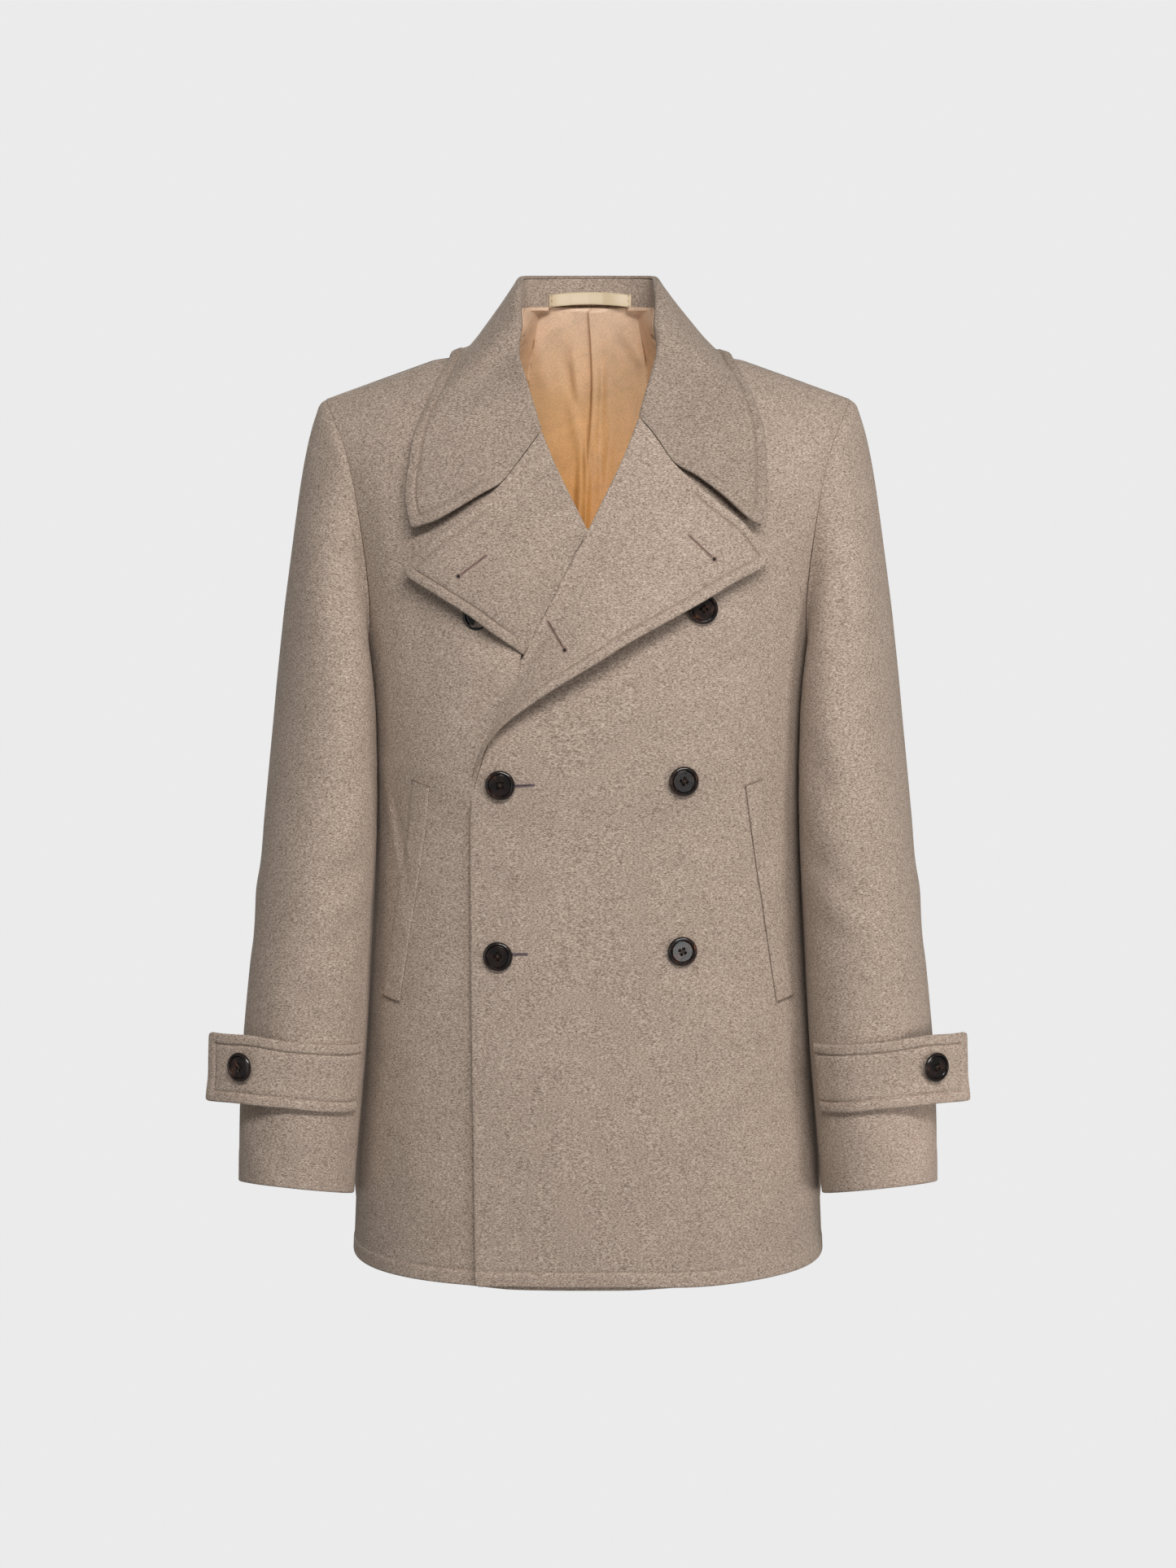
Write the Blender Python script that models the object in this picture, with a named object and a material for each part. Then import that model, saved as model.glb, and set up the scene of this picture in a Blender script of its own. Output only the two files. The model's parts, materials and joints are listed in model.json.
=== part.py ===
# A double-breasted wool pea coat, filled out as worn with no wearer inside.
# The coat faces -Y with its left side at +X. Tables and sizes are in millimetres
# and the meshes are made in metres. The origin lies between the wearer's two
# shoulder points, at the height of the shoulder seams' inner ends.

import math
from collections import namedtuple

import bpy
from mathutils import Vector

MM = 0.001
SEAM_GAP = 0.3
LAYER_GAP = 1.0

# Thickness of each cloth
WOOL_WALL = 2.4
STRAP_WALL = 3.4
LINING_WALL = 1.0
TAPE_WALL = 1.0

# One row for each height: half width, depth to the front and to the back, and
# how square the section is (2 is an ellipse).
TorsoRow = namedtuple("TorsoRow", "z half_width front back square")
TORSO = [
    TorsoRow(42, 236, 46, 58, 2.5),
    TorsoRow(14, 234, 51, 63, 2.5),
    TorsoRow(-35, 231, 68, 80, 2.5),
    TorsoRow(-60, 228, 79, 90, 2.5),
    TorsoRow(-95, 222, 93, 99, 2.5),
    TorsoRow(-150, 206, 110, 107, 2.6),
    TorsoRow(-200, 193, 118, 109, 2.6),
    TorsoRow(-262, 183, 121, 107, 2.7),
    TorsoRow(-330, 176, 121, 102, 2.9),
    TorsoRow(-410, 176, 119, 98, 2.9),
    TorsoRow(-500, 180, 119, 101, 2.8),
    TorsoRow(-600, 187, 122, 108, 2.7),
    TorsoRow(-700, 195, 124, 114, 2.6),
    TorsoRow(-774, 199, 125, 118, 2.5),
]
HEM = -774
UNDERARM = -262

# Shoulder line, seen from the front, and the neck's opening
NECK_HALF = 57
NECK_POINT = -3.4
BACK_NECK = 14
SHOULDER_SLOPE = 0.349
SHOULDER_TIP = 214
SHOULDER_ROUND = 62
COLLAR_DIP = 3.0
FRONT_NECK_RISE = 2.2
BACK_NECK_RISE = 5.0
NECK_SQUARE = 14

# Armhole: where the front and the back panel end at each height
ArmholeRow = namedtuple("ArmholeRow", "z front_x back_x")
ARMHOLE = [
    ArmholeRow(-255, 179.0, 180.0),
    ArmholeRow(-240, 176.5, 180.0),
    ArmholeRow(-215, 176.5, 181.5),
    ArmholeRow(-185, 179.0, 184.0),
    ArmholeRow(-152, 183.4, 187.5),
    ArmholeRow(-122, 188.5, 191.5),
    ArmholeRow(-94, 196.0, 197.5),
    ArmholeRow(-75, 205.0, 205.0),
    ArmholeRow(-64.5, 210.5, 210.5),
]

# Front edge and roll line, as distances past the centre towards the other side
EdgeRow = namedtuple("EdgeRow", "z past")
OVER_EDGE = [
    EdgeRow(-3.4, -57.0),
    EdgeRow(-20, -54.2),
    EdgeRow(-42, -48.4),
    EdgeRow(-72, -39.2),
    EdgeRow(-105, -26.2),
    EdgeRow(-135, -11.5),
    EdgeRow(-158, 0.3),
    EdgeRow(-190, 17.5),
    EdgeRow(-254, 50.0),
    EdgeRow(-312, 76.0),
    EdgeRow(-352, 89.5),
    EdgeRow(-400, 94.0),
    EdgeRow(HEM, 92.0),
]
UNDER_EDGE_LIMIT = 76.0

# Rows of the front panels, from the hem up: height at the front edge and at the side
PanelRow = namedtuple("PanelRow", "edge_z side_z")
LOWER_ROWS = [
    PanelRow(HEM, HEM),
    PanelRow(-735, -735),
    PanelRow(-690, -690),
    PanelRow(-635, -635),
    PanelRow(-575, -575),
    PanelRow(-515, -515),
    PanelRow(-455, -450),
    PanelRow(-400, -388),
    PanelRow(-352, -335),
    PanelRow(-312, -297),
    PanelRow(-275, UNDERARM),
]
ROLL_HEIGHTS = (-240, -215, -190, -165, -135, -105, -72, -40, -16)
FRONT_COLUMNS = (0, 0.06, 0.14, 0.24, 0.36, 0.48, 0.60, 0.72, 0.83, 0.92, 1)
BACK_COLUMNS = (0, 0.035, 0.075, 0.12, 0.154, 0.24, 0.36, 0.48, 0.60, 0.72, 0.83, 0.92, 1)

# Lapels: the outer edge for each height of the roll line. across is measured
# from the coat's centre towards the lapel's own side.
LapelRow = namedtuple("LapelRow", "roll_z across z stand")
OVER_LAPEL = [
    LapelRow(-72, 136.5, -177, 8.5),
    LapelRow(-105, 133.5, -186, 9.5),
    LapelRow(-135, 110.0, -198, 12.0),
    LapelRow(-165, 83.0, -214, 15.0),
    LapelRow(-190, 58.0, -228, 17.0),
    LapelRow(-215, 33.0, -242, 18.5),
    LapelRow(-240, 8.0, -258, 19.0),
    LapelRow(-275, -26.0, -280, 17.0),
    LapelRow(-312, -58.0, -303, 10.0),
    LapelRow(-352, -81.0, -347, 1.5),
]
UNDER_LAPEL = [
    LapelRow(-82, 140.5, -187, 8.5),
    LapelRow(-107, 138.5, -194, 9.5),
    LapelRow(-135, 116.0, -208, 10.5),
    LapelRow(-165, 90.0, -224, 10.5),
    LapelRow(-190, 64.0, -244, 6.5),
    LapelRow(-215, 38.0, -262, 3.0),
    LapelRow(-240, 14.0, -276, 0.0),
    LapelRow(-275, -20.0, -296, 0.0),
    LapelRow(-312, -46.0, -318, 0.0),
    LapelRow(-352, -68.0, -348, 0.0),
]
# The gorge seam, the notch and the lapel's top edge, from the roll to the corner
GorgePoint = namedtuple("GorgePoint", "across z")
OVER_GORGE = [
    GorgePoint(39.2, -72),
    GorgePoint(52.0, -87),
    GorgePoint(65.9, -107),
    GorgePoint(82.0, -121),
    GorgePoint(101.0, -137.5),
    GorgePoint(120.0, -154),
    GorgePoint(136.5, -177),
]
UNDER_GORGE = [
    GorgePoint(35.8, -82),
    GorgePoint(50.0, -101),
    GorgePoint(67.5, -122.5),
    GorgePoint(85.0, -136),
    GorgePoint(104.0, -150.5),
    GorgePoint(122.5, -164.5),
    GorgePoint(140.5, -187),
]
GORGE_FADE = (1, 0.5, 0.2)
LAPEL_COLUMNS = (0, 0.12, 0.27, 0.44, 0.62, 0.81, 1)

LEAF_GAP = 1.6

LAPEL_GAP = 0.65

# Collar: the fold and the leaf's edge at stations from the gorge to the centre
# back. The first rows lie on the chest, so their depth comes from the front.
ChestStation = namedtuple("ChestStation", "fold_across fold_z edge_across edge_z stand")
OVER_COLLAR = [
    ChestStation(41.0, -67, 134.5, -152, 8.0),
    ChestStation(44.5, -53, 137.0, -131, 7.5),
    ChestStation(49.5, -36, 138.5, -105, 6.5),
    ChestStation(53.8, -20, 137.0, -80, 4.5),
]
UNDER_COLLAR = [
    ChestStation(37.8, -78, 135.5, -157, 8.0),
    ChestStation(42.5, -60, 141.5, -134, 7.5),
    ChestStation(49.0, -40, 140.0, -110, 6.5),
    ChestStation(54.8, -20, 135.0, -82, 4.5),
]
# The leaf's lower edge, from the gorge seam round the notch to the point
OVER_LEAF_END = [
    GorgePoint(41.0, -67),
    GorgePoint(54.0, -83),
    GorgePoint(68.0, -103),
    GorgePoint(84.5, -116),
    GorgePoint(103.0, -132.5),
    GorgePoint(120.0, -148),
    GorgePoint(132.0, -156),
]
UNDER_LEAF_END = [
    GorgePoint(37.8, -78),
    GorgePoint(51.5, -97),
    GorgePoint(68.0, -118.5),
    GorgePoint(82.5, -128.5),
    GorgePoint(99.5, -141),
    GorgePoint(118.0, -151.5),
    GorgePoint(135.5, -157),
]
NeckStation = namedtuple(
    "NeckStation", "fold_x fold_y fold_z edge_x under_edge_x edge_y edge_z bulge"
)
NECK_STATIONS = [
    NeckStation(59.5, -38, 4, 129.0, 122.5, -52, -47, -2),
    NeckStation(62.5, -20, 20, 118.5, 112.5, -24, -33, -2.5),
    NeckStation(61.8, -2, 32.5, 113.0, 107.0, 2, -28, -2.5),
    NeckStation(59.3, 18, 39, 107.0, 103.0, 28, -30, -2),
    NeckStation(54.8, 44, 41, 92.0, 90.0, 68, -38, 2),
    NeckStation(35.5, 65, 41, 54.0, 53.0, 93, -46, 6),
    NeckStation(14.0, 73, 41, 21.0, 21.0, 99, -50, 7),
    NeckStation(0.0, 74, 41, 0.0, 0.0, 100, -50, 7),
]
LEAF_COLUMNS = LAPEL_COLUMNS
StandStation = namedtuple("StandStation", "seam_x seam_y seam_z")
STAND_STATIONS = [
    StandStation(57.0, -34, -6),
    StandStation(58.5, -16, -2),
    StandStation(59.0, 0, 1),
    StandStation(57.0, 16, 5.5),
    StandStation(52.5, 38, 12.3),
    StandStation(33.0, 56, 14.4),
    StandStation(12.5, 62, 14.4),
    StandStation(0.0, 63, 14.4),
]

# Sleeves: rings below the cap. reach is half the width across, deep half the
# depth along the arm's broad way, turn its angle towards the chest, and
# front_rise how fast the ring climbs towards the front.
SleeveRow = namedtuple("SleeveRow", "z x y reach deep turn front_rise")
SLEEVE = [
    SleeveRow(-300, 215.0, -30, 42.8, 68, 20, 0.03),
    SleeveRow(-355, 217.2, -38, 45.6, 66, 20, 0.05),
    SleeveRow(-418, 220.8, -46, 47.6, 63, 19, 0.07),
    SleeveRow(-495, 227.0, -52, 49.0, 58, 16, 0.07),
    SleeveRow(-576, 233.3, -56, 50.8, 54.5, 12, 0.07),
    SleeveRow(-631, 237.7, -58, 50.2, 52.5, 10, 0.09),
    SleeveRow(-707, 242.5, -60, 47.5, 50.5, 8, 0.26),
]
OUTER_RISE = 0.06
CUFF_RISE = 0.05
CAP_STEPS = (0, 0.1, 0.22, 0.38, 0.56, 0.78)
SLEEVE_STATIONS = 20
FRONT_SEAM_STATION = 8
BACK_SEAM_STATION = 14
BODY_CLEARANCE = 3.0
CLEAR_BELOW = 0.2

# Cuff straps: how far each stands off the sleeve, by the angle from straight out
StrapRow = namedtuple("StrapRow", "angle lift")
STRAP = [
    StrapRow(142, 0.35),
    StrapRow(126, 0.35),
    StrapRow(108, 0.35),
    StrapRow(90, 0.6),
    StrapRow(75, 2.0),
    StrapRow(60, 5.0),
    StrapRow(47, 9.0),
    StrapRow(35, 13.0),
    StrapRow(24, 17.0),
    StrapRow(12, 21.0),
    StrapRow(2, 23.5),
]
STRAP_TOP = -574.5
STRAP_HEIGHT = 53.5
STRAP_TAPER = 3.5
STRAP_DROP = 3.0
STRAP_CORNER = 2.0

# Pocket welts, from the upper to the lower end
WeltEnd = namedtuple("WeltEnd", "inner_x inner_z outer_x outer_z")
WELT_TOP = WeltEnd(124.0, -361, 137.5, -357)
WELT_FOOT = WeltEnd(153.0, -543, 167.0, -541)
WELT_WALL = 1.8
WELT_ROWS = 7

# Buttons: radius and height pairs of the turned profile, and four holes
BUTTON_RADIUS = 12.0
BUTTON_HEIGHT = 4.0
BUTTON_PROFILE = [(10.5, 0.0), (12.0, 1.4), (11.4, 3.5), (10.0, 4.0), (8.6, 3.0)]
BUTTON_SIDES = 18
HOLE_RADIUS = 1.1
HOLE_OFFSET = 1.9
HOLE_SIDES = 6
BUTTON_GAP = 0.6
ButtonPlace = namedtuple("ButtonPlace", "name x z layer")
BUTTONS = [
    ButtonPlace("button_1", -87.0, -224, "under"),
    ButtonPlace("button_2", 89.0, -221, "over"),
    ButtonPlace("button_3", -68.3, -360, "over"),
    ButtonPlace("button_4", 76.0, -357.5, "over"),
    ButtonPlace("button_5", -71.4, -498.7, "over"),
    ButtonPlace("button_6", 76.0, -495.5, "over"),
]
CUFF_BUTTON_ANGLE = 33
CUFF_BUTTON_Z = -600

# Hanger loop on the inside of the stand
LOOP_CENTRE = 1.7
LOOP_HALF = 34.2
LOOP_BOTTOM = 15.0
LOOP_TOP = 25.5
LOOP_RISE = 2.5
LOOP_BOW = 6.5

# Back lining with its centre pleat
LINING_FOOT = -745
LINING_COLUMNS = 11
PLEAT_DEPTH = 3.0
PLEAT_REACH = 16.0

OVER = 1
UNDER = -1
FRONT = -1
BACK = 1


def smooth(low, high, value):
    """0 at low, 1 at high and a soft S between them."""
    t = min(1.0, max(0.0, (value - low) / (high - low)))
    return t * t * (3 - 2 * t)


def mix(a, b, t):
    return a + (b - a) * t


def read_table(table, key, column):
    """A column at any value of the first column, on a smooth curve through the rows."""
    rows = sorted(table, key=lambda row: row[0])
    keys = [row[0] for row in rows]
    values = [getattr(row, column) for row in rows]
    if key <= keys[0]:
        return values[0]
    if key >= keys[-1]:
        return values[-1]
    i = max(k for k in range(len(keys) - 1) if keys[k] <= key)
    slopes = []
    for k in (i, i + 1):
        low = max(k - 1, 0)
        high = min(k + 1, len(keys) - 1)
        slopes.append((values[high] - values[low]) / (keys[high] - keys[low]))
    step = keys[i + 1] - keys[i]
    t = (key - keys[i]) / step
    return (
        (2 * t**3 - 3 * t**2 + 1) * values[i]
        + (t**3 - 2 * t**2 + t) * step * slopes[0]
        + (3 * t**2 - 2 * t**3) * values[i + 1]
        + (t**3 - t**2) * step * slopes[1]
    )


# ---- the torso's form ----


def crest(x, face=BACK):
    """Height of the shoulder line, which turns up as a neck inside the neck points."""
    x = abs(x)
    if x >= NECK_HALF:
        dip = COLLAR_DIP * smooth(NECK_HALF, 75, x) * smooth(128, 108, x)
        return NECK_POINT - SHOULDER_SLOPE * (x - NECK_HALF) - dip
    rise = FRONT_NECK_RISE if face == FRONT else BACK_NECK_RISE
    return NECK_POINT + rise * (NECK_HALF - x)


def top_line(x):
    """Height of the panels' upper edge: the neck seam, then the shoulder seam."""
    x = abs(x)
    if x >= NECK_HALF:
        return crest(x)
    return mix(BACK_NECK, NECK_POINT, (x / NECK_HALF) ** NECK_SQUARE)


def rounding(below_crest):
    """Square of the share of the full depth reached this far below the shoulder line."""
    t = min(below_crest / SHOULDER_ROUND, 1.0)
    return 2 * t - t * abs(t)


def torso_depth(x, z, face):
    width = read_table(TORSO, z, "half_width")
    depth = read_table(TORSO, z, "front" if face == FRONT else "back")
    square = read_table(TORSO, z, "square")
    across = max(0.0, 1 - (min(abs(x) / width, 1.0)) ** square)
    share = max(0.0, rounding(crest(x, face) - z)) ** 0.5
    return face * depth * across ** (1 / square) * share


def torso_field(point):
    """Negative inside the torso, zero on its skin and positive outside."""
    x, y, z = point
    width = read_table(TORSO, z, "half_width")
    depth = read_table(TORSO, z, "front" if y < 0 else "back")
    square = read_table(TORSO, z, "square")
    across = 1 - (abs(x) / width) ** square
    round_off = rounding(crest(x, FRONT if y < 0 else BACK) - z)
    share = math.copysign(abs(round_off) ** (square / 2), round_off)
    if across < 0 and share < 0:
        return (abs(y) / depth) ** square - across - share
    return (abs(y) / depth) ** square - across * share


def field_slope(point):
    step = 0.05
    slope = Vector()
    for axis in range(3):
        low = Vector(point)
        high = Vector(point)
        low[axis] -= step
        high[axis] += step
        slope[axis] = (torso_field(high) - torso_field(low)) / (2 * step)
    return slope


def outward(x, z, face):
    """Unit normal of the torso's skin. Along the shoulder and side seams it has no Y part."""
    below = crest(x, face) - z
    z_inside = min(z, crest(x, face) - 0.5)
    y = torso_depth(x, z_inside, face)
    slope = field_slope((x, y, z_inside))
    if below < 0.01 or abs(y) < 0.01:
        slope.y = 0
    return slope.normalized()


def skin(x, z, face, out=0.0):
    return Vector((x, torso_depth(x, z, face), z)) + outward(x, z, face) * out


def keep_clear(point, clearance):
    """Moves a point out until it lies this far from the torso's skin."""
    place = Vector(point)
    for _ in range(4):
        slope = field_slope(place)
        distance = torso_field(place) / slope.length
        if distance >= clearance:
            break
        place += slope.normalized() * (clearance - distance)
    return place


def angle_at(x, z):
    width = read_table(TORSO, z, "half_width")
    square = read_table(TORSO, z, "square")
    share = min(abs(x) / width, 1.0)
    return math.copysign(math.asin(share ** (square / 2)), x)


def across_at(angle, z):
    width = read_table(TORSO, z, "half_width")
    square = read_table(TORSO, z, "square")
    return math.copysign(width * abs(math.sin(angle)) ** (2 / square), angle)


# ---- meshes ----


def grid_normals(grid, closed):
    """Unit normals of a grid of points, from the neighbours in both directions."""
    rows = len(grid)
    columns = len(grid[0])
    normals = []
    for i in range(rows):
        line = []
        for j in range(columns):
            up = grid[min(i + 1, rows - 1)][j] - grid[max(i - 1, 0)][j]
            if closed:
                along = grid[i][(j + 1) % columns] - grid[i][(j - 1) % columns]
            else:
                along = grid[i][min(j + 1, columns - 1)] - grid[i][max(j - 1, 0)]
            line.append(along.cross(up).normalized())
        normals.append(line)
    return normals


def pull_in(outer, inner, edges):
    """Draws the named edges of a wall's two grids back from their seams."""
    rows = range(len(outer))
    columns = range(len(outer[0]))
    pairs = []
    if "last_row" in edges:
        pairs += [((-1, j), (-2, j)) for j in columns]
    if "first_column" in edges:
        pairs += [((i, 0), (i, 1)) for i in rows]
    if "last_column" in edges:
        pairs += [((i, -1), (i, -2)) for i in rows]
    for (i, j), (near_i, near_j) in pairs:
        shift = (outer[near_i][near_j] - outer[i][j]).normalized() * SEAM_GAP / 2
        outer[i][j] = outer[i][j] + shift
        inner[i][j] = inner[i][j] + shift


def signed_volume(points, faces):
    total = 0.0
    for face in faces:
        a = points[face[0]]
        for k in range(1, len(face) - 1):
            total += a.dot(points[face[k]].cross(points[face[k + 1]]))
    return total / 6


def add_object(name, points, faces, material, sharp_degrees=40):
    if signed_volume(points, faces) < 0:
        faces = [tuple(reversed(face)) for face in faces]
    mesh = bpy.data.meshes.new(name)
    mesh.from_pydata([p * MM for p in points], [], faces)
    mesh.validate()
    mesh.shade_smooth()
    mesh.set_sharp_from_angle(angle=math.radians(sharp_degrees))
    mesh.materials.append(material)
    thing = bpy.data.objects.new(name, mesh)
    bpy.context.scene.collection.objects.link(thing)
    return thing


def wall(name, outer, inner, material):
    """A closed wall between two grids of the same size.

    Each quad is split on the diagonal that rises outwards, and each quad of the
    rim from its lower outer to its upper inner corner, so that layers and seams
    made from the same points stay parallel.
    """
    rows = len(outer)
    columns = len(outer[0])
    points = [p for line in outer for p in line] + [p for line in inner for p in line]
    back = rows * columns

    def at(i, j):
        return i * columns + j

    faces = []
    for i in range(rows - 1):
        for j in range(columns - 1):
            quad = (at(i, j), at(i, j + 1), at(i + 1, j + 1), at(i + 1, j))
            rises = abs(outer[i + 1][j + 1].x) > abs(outer[i + 1][j].x)
            a, b, c, d = quad if rises else quad[1:] + quad[:1]
            for half in ((a, b, c), (a, c, d)):
                faces.append(half)
                faces.append(tuple(back + k for k in reversed(half)))
    rim = [at(0, j) for j in range(columns)]
    rim += [at(i, columns - 1) for i in range(1, rows)]
    rim += [at(rows - 1, j) for j in range(columns - 2, -1, -1)]
    rim += [at(i, 0) for i in range(rows - 2, 0, -1)]
    for k, first in enumerate(rim):
        second = rim[(k + 1) % len(rim)]
        if points[first].z < points[second].z:
            faces.append((second, first, back + second))
            faces.append((first, back + first, back + second))
        else:
            faces.append((second, first, back + first))
            faces.append((second, back + first, back + second))
    return add_object(name, points, faces, material)


def finish(name, colour, roughness):
    material = bpy.data.materials.new(name)
    material.use_nodes = True
    shader = material.node_tree.nodes["Principled BSDF"]
    shader.inputs["Base Color"].default_value = (*colour, 1)
    shader.inputs["Roughness"].default_value = roughness
    shader.inputs["Metallic"].default_value = 0.0
    material.diffuse_color = (*colour, 1)
    return material


def wool(name):
    return finish(name + "_wool", (0.36, 0.30, 0.255), 0.95)


# ---- fronts and backs ----


def edge_past(z, side):
    past = read_table(OVER_EDGE, z, "past")
    return past if side == OVER else min(past, UNDER_EDGE_LIMIT)


def front_lift(across, z, side):
    """How far a front's outer face stands off the torso to clear the layers below it."""
    if side == UNDER:
        return 0.0
    layer = WOOL_WALL + LAYER_GAP
    layers = 1 + smooth(-405, -345, z)
    fade_up = 1 - smooth(-165, -60, z)
    fade_out = 1 - smooth(92, 165, across)
    return layer * layers * fade_up * fade_out


def side_rows(face):
    """Angle or X position of a panel's outer edge, from the hem up to the shoulder tip."""
    rows = [(row.side_z, None) for row in LOWER_ROWS]
    for row in ARMHOLE:
        rows.append((row.z, row.front_x if face == FRONT else row.back_x))
    rows.append((crest(SHOULDER_TIP), SHOULDER_TIP))
    return rows


def panel_row(inner, outer, fractions, weight):
    """Points across a panel. Low rows run level, and the upper ones follow the shoulder."""
    inner_x, inner_z = inner
    outer_x, outer_z = outer
    first = angle_at(inner_x, inner_z)
    last = math.pi / 2 if outer_x is None else angle_at(outer_x, outer_z)
    end_x = outer_x if outer_x else across_at(last, outer_z)
    drop_in = top_line(max(inner_x, NECK_HALF)) - inner_z
    drop_out = crest(end_x) - outer_z
    row = []
    for c in fractions:
        level = mix(inner_z, outer_z, c)
        z = level
        for _ in range(3):
            x = across_at(mix(first, last, c), z)
            draped = top_line(max(x, NECK_HALF)) - mix(drop_in, drop_out, c)
            z = mix(level, draped, weight)
        row.append((x, z))
    return row


def front_grid(side):
    sides = side_rows(FRONT)
    heights = [row.edge_z for row in LOWER_ROWS] + list(ROLL_HEIGHTS) + [NECK_POINT]
    grid = []
    for (outer_z, outer_x), edge_z in zip(sides, heights):
        inner = (-edge_past(edge_z, side), edge_z)
        weight = smooth(-320, -110, edge_z)
        grid.append(panel_row(inner, (outer_x, outer_z), FRONT_COLUMNS, weight))
    return grid


def make_front(name, side):
    grid = front_grid(side)
    outer = []
    inner = []
    for line in grid:
        lifts = [front_lift(x, z, side) for x, z in line]
        outer.append([skin(x, z, FRONT, lift) for (x, z), lift in zip(line, lifts)])
        inner.append([skin(x, z, FRONT, lift - WOOL_WALL) for (x, z), lift in zip(line, lifts)])
    pull_in(outer, inner, ("last_row", "last_column"))
    return wall(name, mirrored(outer, side), mirrored(inner, side), wool(name))


def mirrored(grid, side):
    return [[Vector((side * p.x, p.y, p.z)) for p in line] for line in grid]


def back_grid():
    grid = []
    sides = side_rows(BACK)
    for outer_z, outer_x in sides:
        share = smooth(UNDERARM - 60, crest(SHOULDER_TIP), outer_z)
        inner_z = mix(outer_z, BACK_NECK, share) if outer_z > UNDERARM - 60 else outer_z
        first = angle_at(0, inner_z)
        last = math.pi / 2 if outer_x is None else angle_at(outer_x, outer_z)
        end_x = outer_x if outer_x else across_at(last, outer_z)
        drop_in = BACK_NECK - inner_z
        drop_out = crest(end_x) - outer_z
        line = []
        for c in BACK_COLUMNS:
            level = mix(inner_z, outer_z, c)
            z = level
            for _ in range(3):
                x = across_at(mix(first, last, c), z)
                draped = top_line(x) - mix(drop_in, drop_out, c)
                z = mix(level, draped, share)
            line.append((x, z))
        grid.append(line)
    return grid


def make_back(name, side):
    grid = back_grid()
    outer = [[skin(x, z, BACK) for x, z in line] for line in grid]
    inner = [[skin(x, z, BACK, -WOOL_WALL) for x, z in line] for line in grid]
    pull_in(outer, inner, ("last_row", "first_column", "last_column"))
    return wall(name, mirrored(outer, side), mirrored(inner, side), wool(name))


# ---- lapels ----


def roll_across(z):
    return -read_table(OVER_EDGE, z, "past")


def lapel_grid(side):
    table = OVER_LAPEL if side == OVER else UNDER_LAPEL
    gorge = OVER_GORGE if side == OVER else UNDER_GORGE
    grid = []
    for i, row in enumerate(table):
        start = (-edge_past(row.roll_z, side), row.roll_z)
        line = []
        for j, c in enumerate(LAPEL_COLUMNS):
            across = mix(start[0], row.across, c)
            z = mix(start[1], row.z, c)
            if i < len(GORGE_FADE):
                straight_across = mix(gorge[0].across, gorge[-1].across, c)
                straight_z = mix(gorge[0].z, gorge[-1].z, c)
                across += GORGE_FADE[i] * (gorge[j].across - straight_across)
                z += GORGE_FADE[i] * (gorge[j].z - straight_z)
            line.append((across, z, row.stand * smooth(-0.1, 0.9, c) * min(1, 4 * c)))
        grid.append(line)
    return grid


def lapel_lift(across, z, stand, side):
    """Offset of a lapel's outer face. The lower lapel lies pressed where the other front covers it."""
    if side == UNDER:
        stand *= smooth(0, 40, across - read_table(OVER_EDGE, z, "past"))
    return front_lift(across, z, side) + LAPEL_GAP + WOOL_WALL + stand


def make_lapel(name, side):
    outer = []
    inner = []
    for line in lapel_grid(side):
        lifts = [lapel_lift(across, z, stand, side) for across, z, stand in line]
        outer.append([skin(p[0], p[1], FRONT, lift) for p, lift in zip(line, lifts)])
        inner.append([skin(p[0], p[1], FRONT, lift - WOOL_WALL) for p, lift in zip(line, lifts)])
    return wall(name, mirrored(outer, side), mirrored(inner, side), wool(name))


# ---- collar ----


def leaf_lines(side):
    """Lines from the fold to the leaf's edge, from the gorge to the centre back."""
    ends = OVER_LEAF_END if side == OVER else UNDER_LEAF_END
    stations = OVER_COLLAR if side == OVER else UNDER_COLLAR
    lines = []
    for i, row in enumerate(stations):
        line = []
        for j, c in enumerate(LEAF_COLUMNS):
            across = mix(row.fold_across, row.edge_across, c)
            z = mix(row.fold_z, row.edge_z, c)
            if i == 0:
                across = ends[j].across
                z = ends[j].z
            stand = row.stand * smooth(-0.1, 0.9, c)
            lift = front_lift(across, z, side) + LAYER_GAP + WOOL_WALL + stand
            line.append(skin(across, z, FRONT, lift))
        lines.append(line)
    for row in NECK_STATIONS:
        fold = Vector((row.fold_x, row.fold_y, row.fold_z))
        edge_x = row.edge_x if side == OVER else row.under_edge_x
        edge = Vector((edge_x, row.edge_y, row.edge_z))
        away = Vector((edge.x - fold.x, edge.y - fold.y, 0)).normalized()
        rise = (away + Vector((0, 0, 1))).normalized()
        line = []
        for c in LEAF_COLUMNS:
            place = fold.lerp(edge, c) + rise * (row.bulge * 4 * c * (1 - c))
            if c > 0:
                place = keep_clear(place, WOOL_WALL + LEAF_GAP)
            line.append(place)
        lines.append(line)
    return lines


def both_sides(over_lines, under_lines):
    """One run of lines, from the lower front's end round the back to the upper front's."""
    run = [[Vector((-p.x, p.y, p.z)) for p in line] for line in under_lines]
    return run + [list(line) for line in reversed(over_lines[:-1])]


def make_leaf(name):
    outer = both_sides(leaf_lines(OVER), leaf_lines(UNDER))
    normals = grid_normals(outer, False)
    middle = len(outer) // 2
    if normals[middle][3].y < 0:
        normals = [[-n for n in line] for line in normals]
    inner = [[p - n * WOOL_WALL for p, n in zip(a, b)] for a, b in zip(outer, normals)]
    return wall(name, outer, inner, wool(name))


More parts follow.
